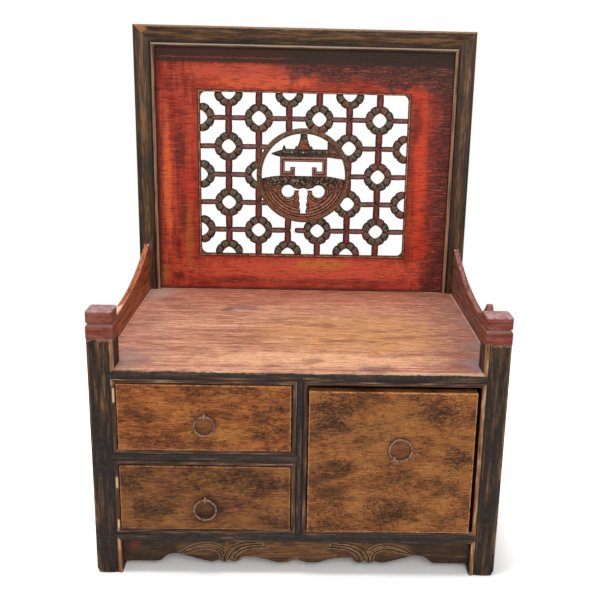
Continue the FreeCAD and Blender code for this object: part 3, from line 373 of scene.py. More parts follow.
def post_paint(node, side):
    """A front post: black lacquer streaked with brown, a tan bead, and an oxide-red block and cap."""
    bead_start, bead_end = 262.6, 268.4
    red_from = 375.0
    paint = Paint(node)
    across = paint.add("Math", paint.x, side, operation="MULTIPLY")
    high_up = paint.add("MapRange", paint.z, 60.0, 360.0)
    outer = paint.add("MapRange", across, 290.0, 300.0)
    middle = paint.band(across, 274.0, 286.0, 6.0)
    if side > 0:
        extra = [(high_up, 0.04), (outer, 0.04), (middle, 0.01)]
    else:
        lifted = paint.add("Math", middle, high_up, operation="MULTIPLY")
        extra = [(lifted, 0.08), (outer, 0.05)]
    tone, _, height = worn_coat(paint, "z", ("2b2420", "392f29"), ("59402c", "8a6648"), 0.525,
                                (node, 4.0), side * 5.0, extra, 0.05)
    tone = paint.layer(tone, "343a30", paint.cloud((14.0, 14.0, 60.0), 2.0, side + 20.0), 0.6, 0.75, 0.4)
    rubbed = paint.streaks("z", 30.0, 3.0, 4.0, side + 2.0)
    bead = paint.layers("4f3422", ("9c6c4a", rubbed, 0.3, 0.5), ("cfa27c", rubbed, 0.53, 0.64))
    if side < 0:
        bead = paint.stripe(bead, "2e221b", paint.z, 76.0, 300.0, 3.0, 0.8)
        # Painted highlights: short pale marks on the crown of the left post's bead
        crown = paint.band(across, bead_start + 0.8, bead_end - 2.0)
        for low, high in ((275.0, 297.0), (141.0, 158.0), (76.0, 89.0)):
            bead = paint.stripe(bead, "e8c49a", paint.z, low, high, 2.0, 0.9, [crown])
    tone = paint.stripe(tone, bead, across, bead_start, bead_end)
    # Painted shade: a dark line in the crease beside the bead
    tone = paint.stripe(tone, "1c1613", across, bead_end + 0.4, bead_end + 1.4, strength=0.85)
    wavy = paint.total((paint.ragged, 14.0), start=paint.z)
    tone = paint.stripe(tone, "b98a6c", wavy, red_from - 1.0, red_from + 1.0, 1.0, 0.6)
    tone = paint.layer(tone, red_cap(paint, side), wavy, red_from, red_from + 3.5)
    return paint.finish(tone, 0.58, height)


def ring_grime_and_shadow(paint, base, ring):
    """Grime and rubbing that a hanging ring leaves on the lacquer, dull inside it, and painted shadow of the
    ring: dark along the wire and in a soft halo outside it.
    """
    low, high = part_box(ring)
    middle = (low + high) / 2 / MM
    radius = (high.x - low.x) / 2 / MM
    reach = paint.total((paint.ragged, 3.0), start=paint.flat_reach(middle.x, middle.z))
    base = paint.layer(base, "43281c", reach, radius + 2.0, radius - 2.0, 0.5)
    # Painted shadow of the ring: a soft halo outside the wire and a dark line along it
    base = paint.stripe(base, "3b261a", reach, radius, radius + 6.0, 5.0, 0.3)
    return paint.stripe(base, "1f120a", reach, radius - 1.6, radius + 2.6, 1.2, 0.45)


def drawer_paint(node, shift, tones, dark_places, pale_places):
    """A drawer front: ochre oil lacquer over brown, finely ticked along the grain and darkened in clouds.

    tones are the two of the ground, the dark and the pale of the grain, and the arris. Both lists hold
    dabs; where it is dark the lacquer is also peppered with black.
    """
    paint = Paint(node)
    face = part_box(node)[0].y / MM
    broad = paint.streaks("x", 60.0, 9.0, 5.0, shift)
    fine = paint.streaks("x", 14.0, 1.7, 3.0, shift + 2.0)
    cross = paint.streaks("z", 9.0, 1.8, 2.0, shift + 6.0)
    base = paint.layer(tones[0], tones[1], broad, 0.34, 0.66)
    peppered = []
    for tint, (x, z), (half_width, half_height), strength in dark_places:
        place = paint.spot((x, face, z), (half_width, 60.0, half_height))
        base = paint.layer(base, tint, place, strength=0.45 * strength)
        peppered.append((place, 0.11 * strength))
    base = paint.dabs(base, "y", face, *pale_places, raggedness=0.7)
    grime = paint.cloud((55.0, 55.0, 30.0), 6.0, shift + 4.0, 0.62)
    crazed = paint.crazing((3.6, 3.6, 2.2), 0.3, shift)
    pepper = paint.total((grime, 0.25), *peppered, start=paint.cloud((5.0, 5.0, 2.6), 4.0, shift + 9.0, 0.75))
    base = paint.layers(
        base,
        (tones[2], fine, 0.5, 0.64, 0.75),
        (tones[3], fine, 0.46, 0.32, 0.6),
        ("402817", grime, 0.5, 0.7, 0.3),
        (tones[3], grime, 0.5, 0.34, 0.3),
        ("2b180d", crazed, 0.0, 1.0, 0.6, [paint.add("MapRange", grime, 0.47, 0.62)]),
        ("2e1a10", cross, 0.58, 0.7, 0.4),
        ("26170e", pepper, 0.67, 0.77, 0.75),
        ("38200f", paint.grit, 0.44, 0.3, 0.6),
    )
    base = ring_grime_and_shadow(paint, base, node.replace("_front", "_ring"))
    patchy = paint.add("MapRange", paint.ragged, 0.35, 0.6)
    base = paint.layer(base, tones[4], paint.edge_distance(node), 2.2, 0.6, 0.8, [patchy])
    return paint.finish(base, 0.48, fine, relief=0.25)


def crest_edges(paint, tone):
    """Wear on the crest rail: a rubbed top arris, a bare left end and the lines of the mitres."""
    front = paint.add("MapRange", paint.total((paint.ragged, 5.0), start=paint.y), 223.0, 218.0)
    top = paint.total((paint.ragged, 4.0), start=paint.z)
    tone = paint.layer(tone, "b98d66", top, 802.5, 805.0, 0.8, [front])
    tone = paint.dabs(tone, "y", 214.0, ("a87444", (-292.0, 797.0), (15.0, 7.0), 1.0),
                      raggedness=0.6)
    mitre = paint.total((paint.z, -1.0), start=paint.off_side())
    return paint.stripe(tone, "9a8676", mitre, -501.9, -500.5, 0.4, 0.8)


def back_frame_paint(node, along, bead, shift):
    """Back post or crest: greenish-black lacquer, worn to ochre along the middle, with a tan bead.

    bead gives where the bead lies across the bar and its edge towards the middle.
    """
    paint = Paint(node)
    low, high, inner = bead
    across, index, wear = (paint.z, 2, 0.14) if along == "x" else (paint.x, 0, 0.1)
    centre = sum(corner[index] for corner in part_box(node)) / 2 / MM
    outward = math.copysign(3.5, centre - inner)
    from_middle = paint.add("Math", across, centre + outward, operation="SUBTRACT")
    from_middle = paint.add("Math", from_middle, operation="ABSOLUTE")
    worn_middle = paint.add("MapRange", from_middle, 14.0, 2.0)
    tone, _, height = worn_coat(paint, along, ("2e2822", "3c332a"), ("583f2a", "84603e"), 0.51,
                                (node, 2.5), shift, [(worn_middle, wear)], 0.07)
    rubbed = paint.streaks(along, 50.0, 3.0, 4.0, shift + 6.0)
    if along == "x":
        # On the crest's bead: a painted highlight along its top and painted shade beneath it
        worn = paint.layers("4c3a2c", ("8f6e4e", rubbed, 0.36, 0.6),
                            ("b69c88", across, 771.6, 773.2, 0.75), ("2a211b", across, 771.4, 770.2, 0.85))
    else:
        worn = paint.layer("5f3b2a", "a87c60", rubbed, 0.32, 0.58)
    tone = paint.stripe(tone, worn, across, low + 0.8, high - 0.8)
    # Painted shade: a dark line in the hollow beside the bead
    tone = paint.stripe(tone, "1b1512", across, inner - 1.0, inner + 1.4, 0.8)
    if along == "x":
        tone = crest_edges(paint, tone)
    else:
        outer_side = math.copysign(304.0, centre)
        edge = paint.add("MapRange", across, outer_side - math.copysign(4.0, centre), outer_side)
        tone = paint.layers(tone, ("75412b", paint.z, 560.0, 760.0, 0.7 if centre > 0 else 0.2, [edge]),
                            ("24252a", paint.z, 520.0, 400.0, 0.45, [edge]))
    return paint.finish(tone, 0.5, height)


def panel_patches(paint, base):
    """Bright vermilion where the panel's paint is fresh, ochre where it is thin, and brown shades."""
    base = paint.dabs(
        base, "y", panel_face,
        ("ea6a34", (-249.0, 520.0), (9.0, 150.0), 0.95),
        ("c4672c", (-212.0, 425.0), (11.0, 70.0), 0.8),
        ("d03a26", (-210.0, 520.0), (16.0, 40.0), 0.8),
        ("e24c2a", (216.0, 560.0), (15.0, 160.0), 0.95),
        ("d8431f", (222.0, 420.0), (20.0, 60.0), 0.9),
        ("d8452a", (200.0, 700.0), (40.0, 16.0), 0.9),
        ("ec653c", (-75.0, 712.0), (120.0, 16.0), 0.9),
        ("e26145", (20.0, 366.0), (300.0, 32.0), 0.9),
        ("d5823f", (40.0, 376.0), (60.0, 14.0), 0.8),
        ("b3702f", (-262.0, 355.0), (14.0, 24.0), 0.75),
        ("dd5e45", (-100.0, 728.0), (150.0, 18.0), 0.7),
        raggedness=0.6,
    )
    return paint.dabs(
        base, "y", panel_face,
        ("5c2520", (-226.0, 590.0), (13.0, 60.0), 0.75),
        ("6a2a20", (-222.0, 470.0), (9.0, 60.0), 0.7),
        ("5a241b", (-232.0, 352.0), (14.0, 12.0), 0.7),
        ("6e2a20", (-120.0, 345.0), (60.0, 9.0), 0.6),
        ("7a3226", (60.0, 344.0), (150.0, 7.0), 0.6),
        ("6b2a20", (205.0, 640.0), (14.0, 34.0), 0.65),
        raggedness=0.8,
    )


def window_lip(paint, base):
    """The panel's window: a dark line round it and a bare lip, darker at the opening's edge and inside it."""
    past_x = paint.add("Math", paint.off_side(), window_half, operation="SUBTRACT")
    past_z = paint.add("Math", paint.z, roundel_z, operation="SUBTRACT")
    past_z = paint.add("Math", past_z, operation="ABSOLUTE")
    past_z = paint.add("Math", past_z, (window_high - window_low) / 2, operation="SUBTRACT")
    past = paint.add("Math", past_x, past_z, operation="MAXIMUM")
    base = paint.stripe(base, "2a130e", past, 3.1, 4.6, 0.5, 0.85)
    lip = paint.layer("6f4630", "bb8a66", paint.ragged, 0.35, 0.65)
    return paint.layers(base, (lip, past, 2.9, 2.4), ("4c2c1d", past, 1.2, 0.4, 0.8))


def panel_paint():
    """The back panel: vermilion oil paint over brown, streaked, crazed finely and darkened to the right."""
    paint = Paint("vermilion_panel")
    level = paint.streaks("x", 22.0, 2.0, 4.0, 2.0)
    upright = paint.streaks("z", 50.0, 5.0, 4.0, 6.0)
    beside = paint.add("MapRange", paint.off_side(), 180.0, 205.0)
    base = paint.layers(
        "9b3023",
        ("bf4430", paint.cloud((45.0, 45.0, 70.0), 4.0, 1.0), 0.35, 0.65),
        ("d6552f", upright, 0.5, 0.68, 0.6, [beside]),
        ("66211a", upright, 0.47, 0.34, 0.6, [beside]),
    )
    base = panel_patches(paint, base)
    wander = paint.cloud((30.0, 30.0, 45.0), 3.0, 3.0)
    right = paint.total((paint.ragged, 22.0), (wander, 60.0), start=paint.x)
    right = paint.add("MapRange", right, 258.0, 292.0)
    upper = paint.total((paint.ragged, 18.0), (wander, 60.0), (paint.x, 0.10), start=paint.z)
    upper = paint.add("MapRange", upper, 748.0, 772.0)
    upper = paint.add("Math", upper, paint.add("MapRange", paint.x, -70.0, -10.0), operation="MULTIPLY")
    olive = paint.total((paint.ragged, 18.0), (paint.x, 0.35), start=paint.z)
    olive = paint.add("MapRange", olive, 786.0, 816.0)
    dark = paint.add("Math", right, upper, operation="MAXIMUM")
    flecked = paint.streaks("x", 9.0, 2.4, 3.0, 12.0)
    wavy = paint.total((paint.ragged, 6.0), (level, 4.0), start=paint.z)
    base = paint.layers(
        base,
        ("7c382f", right, 0.0, 1.0, 0.9),
        ("66403a", upper, 0.0, 1.0, 0.9),
        ("5c463a", olive, 0.0, 1.0, 0.9),
        ("b0564c", flecked, 0.48, 0.62, 0.75, [upper]),
        ("5c463a", olive, 0.0, 1.0, 0.5),
        ("2f1614", paint.crazing((4.2, 4.2, 2.4), 0.3, 4.0), 0.0, 1.0, 0.8, [dark]),
        ("a9625a", flecked, 0.56, 0.68, 0.5, [right]),
        ("571a12", level, 0.47, 0.34, 0.6),
        ("e4704a", level, 0.53, 0.68, 0.4),
        ("4a1812", paint.grit, 0.46, 0.32, 0.45),
        ("3c2a20", wavy, 744.0, 751.0, 0.92),
    )
    to_left = paint.add("MapRange", paint.x, 0.0, -60.0)
    base = paint.stripe(base, "a4613f", wavy, 756.0, 757.2, 0.5, 0.7, [to_left])
    # Painted shade along the panel's left edge beside the frame, and a darker foot
    left = paint.total((paint.ragged, -8.0), start=paint.x)
    foot = paint.total((paint.ragged, 4.0), start=paint.z)
    base = paint.layers(base, ("4e2218", left, -262.0, -270.0, 0.75), ("4a2622", foot, 336.0, 332.0, 0.6))
    return paint.finish(window_lip(paint, base), 0.5, level, relief=0.25)


def carving_paint(name, tones, glint, shift, red=None):
    """Fret timber: old paint worn and dirty, with a painted highlight where it stands proud and painted shade
    in its grooves and on its flanks, redder in places.
    """
    paint = Paint(name)
    base = paint.layer(tones[0], tones[1], paint.cloud(9.0, 4.0, shift), 0.35, 0.65)
    if red:
        base = paint.layer(base, red, paint.cloud(34.0, 2.0, shift + 2.0), 0.52, 0.64, 0.7)
    speck = paint.cloud(2.6, 2.0, shift + 3.0)
    base = paint.layers(base, (glint, speck, 0.55, 0.68, 0.6), ("241a15", speck, 0.46, 0.34, 0.6))
    # carved lays painted shade in the grooves and flanks and a painted highlight on the crests
    return paint.finish(paint.carved(base, "1d1410", glint), 0.6, speck)


def roundel_paint():
    """The roundel: tan-brown ring, dirty olive roof and bowl, red bracket, petal and lower bowl."""
    paint = Paint("roundel")
    cloud = paint.cloud(9.0, 4.0, 2.0)
    speck = paint.cloud((3.4, 3.4, 2.2), 2.0, 5.0)
    z = paint.add("Math", paint.z, roundel_z, operation="SUBTRACT")
    wavy = paint.total((paint.ragged, 26.0), start=z)
    base = paint.layers("7a3a2b", ("a25a3c", cloud, 0.4, 0.62), ("4a3526", cloud, 0.5, 0.38, 0.8),
                        ("433a2e", wavy, -14.0, -4.0))
    base = paint.dabs(
        base, "y", panel_face,
        ("6c3a30", (-66.0, 529.0), (16.0, 16.0), 0.8),
        ("6c3a30", (66.0, 529.0), (14.0, 16.0), 0.8),
    )
    base = paint.stripe(base, "9b5f57", z, -0.5, 35.0)
    roof = paint.layers("35342d", ("4a4438", cloud, 0.35, 0.65), ("6b4c3a", paint.x, 25.0, 50.0, 0.8))
    leaves = paint.total((z, 0.35), start=paint.off_side())
    ring = paint.layers("68492f", ("94694a", cloud, 0.35, 0.65), ("9a5a3a", z, -20.0, -60.0, 0.6))
    base = paint.layers(
        base,
        (roof, z, 34.6, 35.4),
        ("9a5238", leaves, 28.0, 26.5, 1.0, [paint.band(z, 49.0, 66.0, 1.0)]),
        (ring, paint.flat_reach(0.0, roundel_z), 76.6, 77.4),
        ("a98b6f", speck, 0.55, 0.66, 0.65),
        ("1e140f", speck, 0.46, 0.34, 0.7),
    )
    for x in (-22.0, -1.0):
        chip = paint.spot((x, panel_face, roundel_z + 43.5), (1.6, 60.0, 1.6), 0.2)
        base = paint.layer(base, "ded6cc", chip)
    # Painted shade in the grooves and along the edges, painted highlight on the crests
    return paint.finish(paint.carved(base, "1b110c", "b5927a"), 0.6, speck)


def iron_paint(name, tones):
    """Hand-forged iron, browned with rust, lighter and darker in clouds."""
    paint = Paint(name)
    cloud = paint.cloud(4.0, 3.0, 2.0)
    base = paint.layer(tones[0], tones[1], cloud, 0.35, 0.65)
    return paint.finish(base, 0.5, cloud, metallic=0.35)


def arm_paint(node, side):
    """An arm: oxide-red paint, worn pale on the top edge and orange where hands reach inside."""
    paint = Paint(node)
    tones = ("985338", "b9714a", "683425") if side < 0 else ("7c4e45", "996a5f", "55322d")
    grain = paint.streaks("y", 60.0, 4.0, 4.0, side * 2.0)
    patchy = paint.add("MapRange", paint.ragged, 0.3, 0.55)
    bright = paint.spot((side * 290.0, -130.0, 350.0), (40.0, 45.0, 16.0), 0.5)
    base = paint.layers(
        tones[0],
        (tones[1], grain, 0.35, 0.62),
        (tones[2], grain, 0.46, 0.34, 0.7),
        ("d9b8a4", paint.edge_distance(node), 3.0, 0.6, 0.85, [patchy]),
        ("d18d5f" if side < 0 else "ad7c70", bright, 0.0, 1.0, 0.8),
    )
    if side < 0:
        # A painted highlight near the top of the left arm's inner face
        painted_highlight = paint.spot((-287.0, -78.0, 367.0), (16.0, 48.0, 6.0), 0.6)
        base = paint.layer(base, "f0c7a4", painted_highlight, 0.1, 0.5, 0.9)
    base = paint.layer(base, "6d3a28", paint.grit, 0.46, 0.34, 0.4)
    return paint.finish(base, 0.55, grain, relief=0.2)


def side_paint():
    """Side rails and panels: thin oxide-red paint over wood grain."""
    paint = Paint("oxide_red")
    tone, _, height = worn_coat(paint, "y", ("6c3529", "84463a"), ("8a5a42", "a87a58"), 0.54, shift=3.0)
    return paint.finish(tone, 0.58, height)


def apron_paint():
    """The apron: brown-black lacquer, thin and ochre in the middle, with a patch of older red."""
    paint = Paint("apron_lacquer")
    tone, _, height = worn_coat(paint, "x", ("3a2b21", "4b3628"), ("60452d", "8a6744"), 0.52,
                                ("front_apron", 4.0), 2.0, soft=0.05)
    grain = paint.streaks("x", 26.0, 2.2, 5.0, 4.0)
    worn = paint.layer("5d3d24", "9a6840", grain, 0.36, 0.64)
    tone = paint.dabs(tone, "y", apron_face, (worn, (0.0, 34.0), (140.0, 34.0), 0.8))
    tone = paint.dabs(
        tone, "y", apron_face,
        (worn, (-140.0, 38.0), (46.0, 18.0), 0.6),
        (worn, (140.0, 38.0), (46.0, 18.0), 0.6),
        raggedness=0.7,
    )
    tone = paint.layers(tone, ("33271a", paint.cloud((30.0, 30.0, 9.0), 4.0, 22.0), 0.5, 0.64, 0.6),
                        ("2a1c11", paint.grit, 0.46, 0.33, 0.5))
    tone = paint.dabs(tone, "y", apron_face, ("7c3325", (-244.0, 40.0), (12.0, 12.0), 0.7))
    # Painted shade in the grooves and along the edges, painted highlight on the crests
    return paint.finish(paint.carved(tone, "261a11", "b8946c", 0.75), 0.5, height)


# Shapes

def new_piece(name, mesh, body, slot, *nodes):
    """Show a mesh as a piece that rides on a body and stands for the CAD nodes named."""
    piece = bpy.data.objects.new(name, mesh)
    bpy.context.scene.collection.objects.link(piece)
    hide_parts(*nodes)
    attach(piece, body)
    return piece


def softened(node, body, slot, material, width):
    """Show a CAD node with its outer edges worn round by width millimetres."""
    solid = bmesh.new()
    solid.from_mesh(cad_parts[node].data)
    bmesh.ops.remove_doubles(solid, verts=solid.verts, dist=0.002 * MM)
    bmesh.ops.dissolve_limit(solid, angle_limit=math.radians(0.4), verts=solid.verts, edges=solid.edges)
    sharp = [e for e in solid.edges if len(e.link_faces) == 2 and e.is_convex
             and e.calc_face_angle() > math.radians(35) and e.calc_length() > 3 * width * MM]
    bmesh.ops.bevel(solid, geom=sharp, offset=width * MM, segments=2, profile=0.5, affect="EDGES",
                    clamp_overlap=False)
    bmesh.ops.dissolve_degenerate(solid, dist=0.02 * MM, edges=solid.edges)
    mesh = bpy.data.meshes.new(node + "_look")
    solid.to_mesh(mesh)
    solid.free()
    mesh.materials.clear()
    mesh.materials.append(material)
    return new_piece(node + "_look", mesh, body, slot, node)


def coat(node, material):
    """Give a CAD node that is shown as it is its material."""
    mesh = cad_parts[node].data
    mesh.materials.clear()
    mesh.materials.append(material)


def closed_mesh(name, solid, *materials):
    """Turn a bmesh into a mesh whose faces look outwards and are smooth except over sharp edges."""
    bmesh.ops.dissolve_degenerate(solid, dist=0.005 * MM, edges=solid.edges)
    bmesh.ops.recalc_face_normals(solid, faces=solid.faces)
    for face in solid.faces:
        face.smooth = True
    for edge in solid.edges:
        edge.smooth = len(edge.link_faces) == 2 and edge.calc_face_angle() < math.radians(38)
    mesh = bpy.data.meshes.new(name)
    solid.to_mesh(mesh)
    solid.free()
    for material in materials:
        mesh.materials.append(material)
    return mesh


def template(name, points, faces, carving):
    """Make an object to be repeated, from points in millimetres about its own middle.

    carving says how grooved each point is: 1 at the bottom of a groove, below 0 on a crest.
    """
    mesh = bpy.data.meshes.new(name)
    mesh.from_pydata([tuple(value * MM for value in point) for point in points], [], faces)
    mesh.attributes.new("carving", "FLOAT", "POINT").data.foreach_set("value", carving)
    made = bpy.data.objects.new(name, mesh)
    bpy.context.scene.collection.objects.link(made)
    return made


# Fretwork

fret_front = 222.55
fret_back = 232.55
fret_thickness = fret_back - fret_front
window_half = 189.0
window_low, window_high = 395.0, 692.0
roundel_z = 543.5
roundel_radius = 86.5
roundel_hole = 77.0
curl_x, curl_z, curl_radius = 28.0, -29.0, 12.0
pitch_x, pitch_z = 55.0, 51.5
columns, rows = 7, 6
ring_reach = 18.0
bar_template_length = 40.0
# One level bar under the roundel starts past its crossing
short_bar = (3, 5)
short_bar_start = -14.75


def crossing(column, row):
    """Give the place (x, z) of a crossing; the outermost ones lie on the window's edges."""
    x = (column - columns / 2) * pitch_x
    z = roundel_z + (rows / 2 - row) * pitch_z
    return max(-window_half, min(window_half, x)), max(window_low, min(window_high, z))


def is_ring(column, row):
    """Every other crossing is a knotted ring, but none in the corners."""
    return (column + row) % 2 == 1 and not (column in (0, columns) and row in (0, rows))


def ring_template():
    """A knotted ring: eight plump lobes round a soft diamond hole, cut apart by grooves."""
    around, stations = 48, 5
    hole_reach, knot_reach, lobe_height = 13.0, 24.3, 2.0
    diamond = 1.5
    points = []
    carving = []
    for step in range(around):
        angle = 2 * math.pi * step / around
        lobe = abs(math.sin(4 * angle)) ** 0.3
        split = abs(math.cos(4 * angle)) < 0.15
        round_off = (abs(math.cos(angle)) ** diamond + abs(math.sin(angle)) ** diamond) ** (1 / diamond)
        inner = hole_reach / round_off
        outer = knot_reach + lobe_height * lobe
        for station in range(stations):
            share = station / (stations - 1)
            radius = inner + (outer - inner) * share
            cut = (1 - lobe) * (0.5 + 0.5 * share)
            if split:
                cut = max(cut, 0.55 * share)
            depth = 0.4 + 2.2 * (2 * share - 1) ** 2 + 3.0 * cut
            points.append((radius * math.cos(angle), depth, radius * math.sin(angle)))
            # The carving gives painted shade in the cuts and at the outer edge and a painted highlight on the
            # lobes' tops
            edge = (2 * share - 1) ** 2
            carving.append(min(1.0, 1.6 * cut + 0.6 * edge * share) - 0.8 * lobe * (1 - edge) * (1 - cut))
        points.append((outer * math.cos(angle), fret_thickness, outer * math.sin(angle)))
        points.append((inner * math.cos(angle), fret_thickness, inner * math.sin(angle)))
        carving += [0.6, 0.6]
    loop = stations + 2
    faces = []
    for step in range(around):
        here, there = step * loop, (step + 1) % around * loop
        for index in range(loop):
            other = (index + 1) % loop
            faces.append((here + index, here + other, there + other, there + index))
    return template("ring_template", points, faces, carving)


def bar_template(name, width, crest, upright):
    """A fret bar: round on the face, plumpest in the middle and pointed at both ends."""
    sides = 7
    stations = [(0.0, 0.55, 1.9), (0.06, 0.84, 1.2), (0.16, 0.93, 0.5), (0.35, 0.98, 0.1), (0.5, 1.0, 0.0),
                (0.65, 0.98, 0.1), (0.84, 0.93, 0.5), (0.94, 0.84, 1.2), (1.0, 0.55, 1.9)]
    points = []
    carving = []
    for share, plumpness, sink in stations:
        along = (share - 0.5) * bar_template_length
        half = width / 2 * plumpness
        section = []
        for side in range(sides):
            turn = math.pi * (side / (sides - 1) - 0.5)
            section.append((half * math.sin(turn), crest + sink + 3.0 * (1 - math.cos(turn)) ** 1.5))
            # The carving gives painted shade on the flanks and the pointed ends and a painted highlight along
            # the crown
            carving.append(0.9 * abs(math.sin(turn)) ** 2 + 0.5 * sink - 0.8 * math.cos(turn) ** 4)
        section += [(half, fret_thickness), (-half, fret_thickness)]
        carving += [0.8, 0.8]
        for across, depth in section:
            points.append((across, depth, along) if upright else (along, depth, across))
    loop = sides + 2
    faces = [tuple(range(loop)), tuple(reversed(range((len(stations) - 1) * loop, len(stations) * loop)))]
    for station in range(len(stations) - 1):
        here = station * loop
        for index in range(loop):
            other = (index + 1) % loop
            faces.append((here + index, here + loop + index, here + loop + other, here + other))
    return template(name, points, faces, carving)


def outside_roundel(start, end, across):
    """Trim a bar's run so that it ends inside the roundel's rim; across is its distance from the middle."""
    reach = roundel_radius - 4.5
    if abs(across) >= reach:
        return start, end
    chord = math.sqrt(reach ** 2 - across ** 2)
    if abs(start) < chord and abs(end) < chord:
        return None
    if start < -chord < end:
        end = -chord
    elif start < chord < end:
        start = chord
    return start, end


def fret_places():
    """List the rings and bars of the fret as (kind, x, z, stretch): 0 ring, 1 upright bar, 2 level bar."""
    places = []
    for column in range(columns + 1):
        for row in range(rows + 1):
            x, z = crossing(column, row)
            inside = math.hypot(x, z - roundel_z) + ring_reach + 8 < roundel_radius
            if is_ring(column, row) and not inside:
                places.append((0, x, z, 1.0))
            if column < columns and 0 < row < rows:
                run = bar_run(x, crossing(column + 1, row)[0], is_ring(column, row),
                              is_ring(column + 1, row), window_half)
                if (column, row) == short_bar:
                    run = (short_bar_start, run[1])
                run = outside_roundel(*run, z - roundel_z)
                if run:
                    places.append((2, sum(run) / 2, z, (run[1] - run[0]) / bar_template_length))
            if row < rows and 0 < column < columns:
                low = crossing(column, row + 1)[1] - roundel_z
                run = bar_run(low, z - roundel_z, is_ring(column, row + 1), is_ring(column, row),
                              (window_high - window_low) / 2)
                run = outside_roundel(*run, x)
                if run:
                    middle = sum(run) / 2 + roundel_z
                    places.append((1, x, middle, (run[1] - run[0]) / bar_template_length))
    return places


def bar_run(start, end, ring_at_start, ring_at_end, edge):
    """Give where a bar starts and ends: short of a ring's hole, at a crossing's middle or past the edge."""
    past = 6.0
    if ring_at_start:
        start += ring_reach
    elif start <= -edge:
        start -= past
    if ring_at_end:
        end -= ring_reach
    elif end >= edge:
        end += past
    return start, end


def fret_tree(templates, paints):
    """A node tree that puts a template on each point by its kind, stretched and slightly out of true."""
    out_of_true = 0.02
    tree = bpy.data.node_groups.new("fret_repeats", "GeometryNodeTree")
    tree.interface.new_socket(name="Places", in_out="INPUT", socket_type="NodeSocketGeometry")
    tree.interface.new_socket(name="Fret", in_out="OUTPUT", socket_type="NodeSocketGeometry")
    places = add(tree, "NodeGroupInput").outputs["Places"]
    kind = add(tree, "GeometryNodeInputNamedAttribute", "kind", data_type="INT")
    stretch = add(tree, "GeometryNodeInputNamedAttribute", "stretch", data_type="FLOAT_VECTOR")
    turn = add(tree, "FunctionNodeRandomValue", -out_of_true, out_of_true, data_type="FLOAT", Seed=7)
    turned = add(tree, "ShaderNodeCombineXYZ", 0.0, turn, 0.0)
    joined = add(tree, "GeometryNodeJoinGeometry")
    for number, (shape, paint) in enumerate(zip(templates, paints)):
        chosen = add(tree, "FunctionNodeCompare", kind, number, data_type="INT", operation="EQUAL")
        shown = add(tree, "GeometryNodeObjectInfo", shape).outputs["Geometry"]
        repeated = add(tree, "GeometryNodeInstanceOnPoints", places, chosen, shown, Rotation=turned,
                       Scale=stretch)
        real = add(tree, "GeometryNodeRealizeInstances", repeated)
        painted = add(tree, "GeometryNodeSetMaterial", real, Material=paint)
        tree.links.new(painted.outputs[0], joined.inputs[0])
    add(tree, "NodeGroupOutput", joined)
    return tree


def fretwork(*paints):
    """Build the fret that fills the window round the roundel, as one mesh.

    The paints are those of the rings, the upright bars and the level bars.
    """
    places = fret_places()
    mesh = bpy.data.meshes.new("fret_places")
    mesh.from_pydata([(x * MM, fret_front * MM, z * MM) for _, x, z, _ in places], [], [])
    kinds = mesh.attributes.new("kind", "INT", "POINT")
    kinds.data.foreach_set("value", [kind for kind, _, _, _ in places])
    stretches = mesh.attributes.new("stretch", "FLOAT_VECTOR", "POINT")
    values = []
    for kind, _, _, length in places:
        values += (1.0, 1.0, length) if kind == 1 else (length, 1.0, 1.0)
    stretches.data.foreach_set("vector", values)
    holder = bpy.data.objects.new("fret_places", mesh)
    bpy.context.scene.collection.objects.link(holder)
    templates = [ring_template(), bar_template("upright_template", 12.5, 0.5, True),
                 bar_template("level_template", 9.2, 0.9, False)]
    modifier = holder.modifiers.new("repeats", "NODES")
    modifier.node_group = fret_tree(templates, paints)
    evaluated = holder.evaluated_get(bpy.context.evaluated_depsgraph_get())
    made = bpy.data.meshes.new_from_object(evaluated)
    for helper in (holder, *templates):
        bpy.data.objects.remove(helper)
    solid = bmesh.new()
    solid.from_mesh(made)
    keep_in_window(solid)
    shown = closed_mesh("back_fretwork_look", solid, *made.materials)
    new_piece("back_fretwork_look", shown, "cabinet", "red_lacquer", "back_fretwork")


def keep_in_window(solid):
    """Draw in what passes the window's edges or comes under the roundel's rim, where it can't be seen."""
    hidden = 0.5
    rim = roundel_radius - 6.0
    for vertex in solid.verts:
        x = max(-window_half - hidden, min(window_half + hidden, vertex.co.x / MM))
        z = max(window_low - hidden, min(window_high + hidden, vertex.co.z / MM)) - roundel_z
        radius = math.hypot(x, z)
        if radius < rim:
            x, z = x * rim / radius, z * rim / radius
        y = max(fret_front, min(fret_back, vertex.co.y / MM))
        vertex.co = (x * MM, y * MM, (z + roundel_z) * MM)


# Carved slabs

# A groove less deep than this counts as the ground beside it
shallow = 0.12


def circle_gap(x, z, centre_x, centre_z, radius):
    """How far points are outside a circle; inside it the number is below 0."""
    return np.hypot(x - centre_x, z - centre_z) - radius


def path_gap(x, z, path):
    """How far points are from the nearest stretch of a path of straight lines."""
    nearest = np.full(x.shape, np.inf)
    for (x0, z0), (x1, z1) in zip(path, path[1:]):
        edge_x, edge_z = x1 - x0, z1 - z0
        share = ((x - x0) * edge_x + (z - z0) * edge_z) / (edge_x ** 2 + edge_z ** 2)
        share = np.clip(share, 0, 1)
        nearest = np.minimum(nearest, np.hypot(x - x0 - share * edge_x, z - z0 - share * edge_z))
    return nearest


def polygon_gap(x, z, corners):
    """How far points are outside a polygon; inside it the number is below 0."""
    path = corners + corners[:1]
    nearest = path_gap(x, z, path)
    inside = np.zeros(x.shape, bool)
    for (x0, z0), (x1, z1) in zip(path, path[1:]):
        if z0 != z1:
            crosses = ((z0 > z) != (z1 > z)) & (x < (x1 - x0) * (z - z0) / (z1 - z0) + x0)
            inside ^= crosses
    return np.where(inside, -nearest, nearest)


def box_gap(x, z, x0, x1, z0, z1):
    return polygon_gap(x, z, [(x0, z0), (x1, z0), (x1, z1), (x0, z1)])


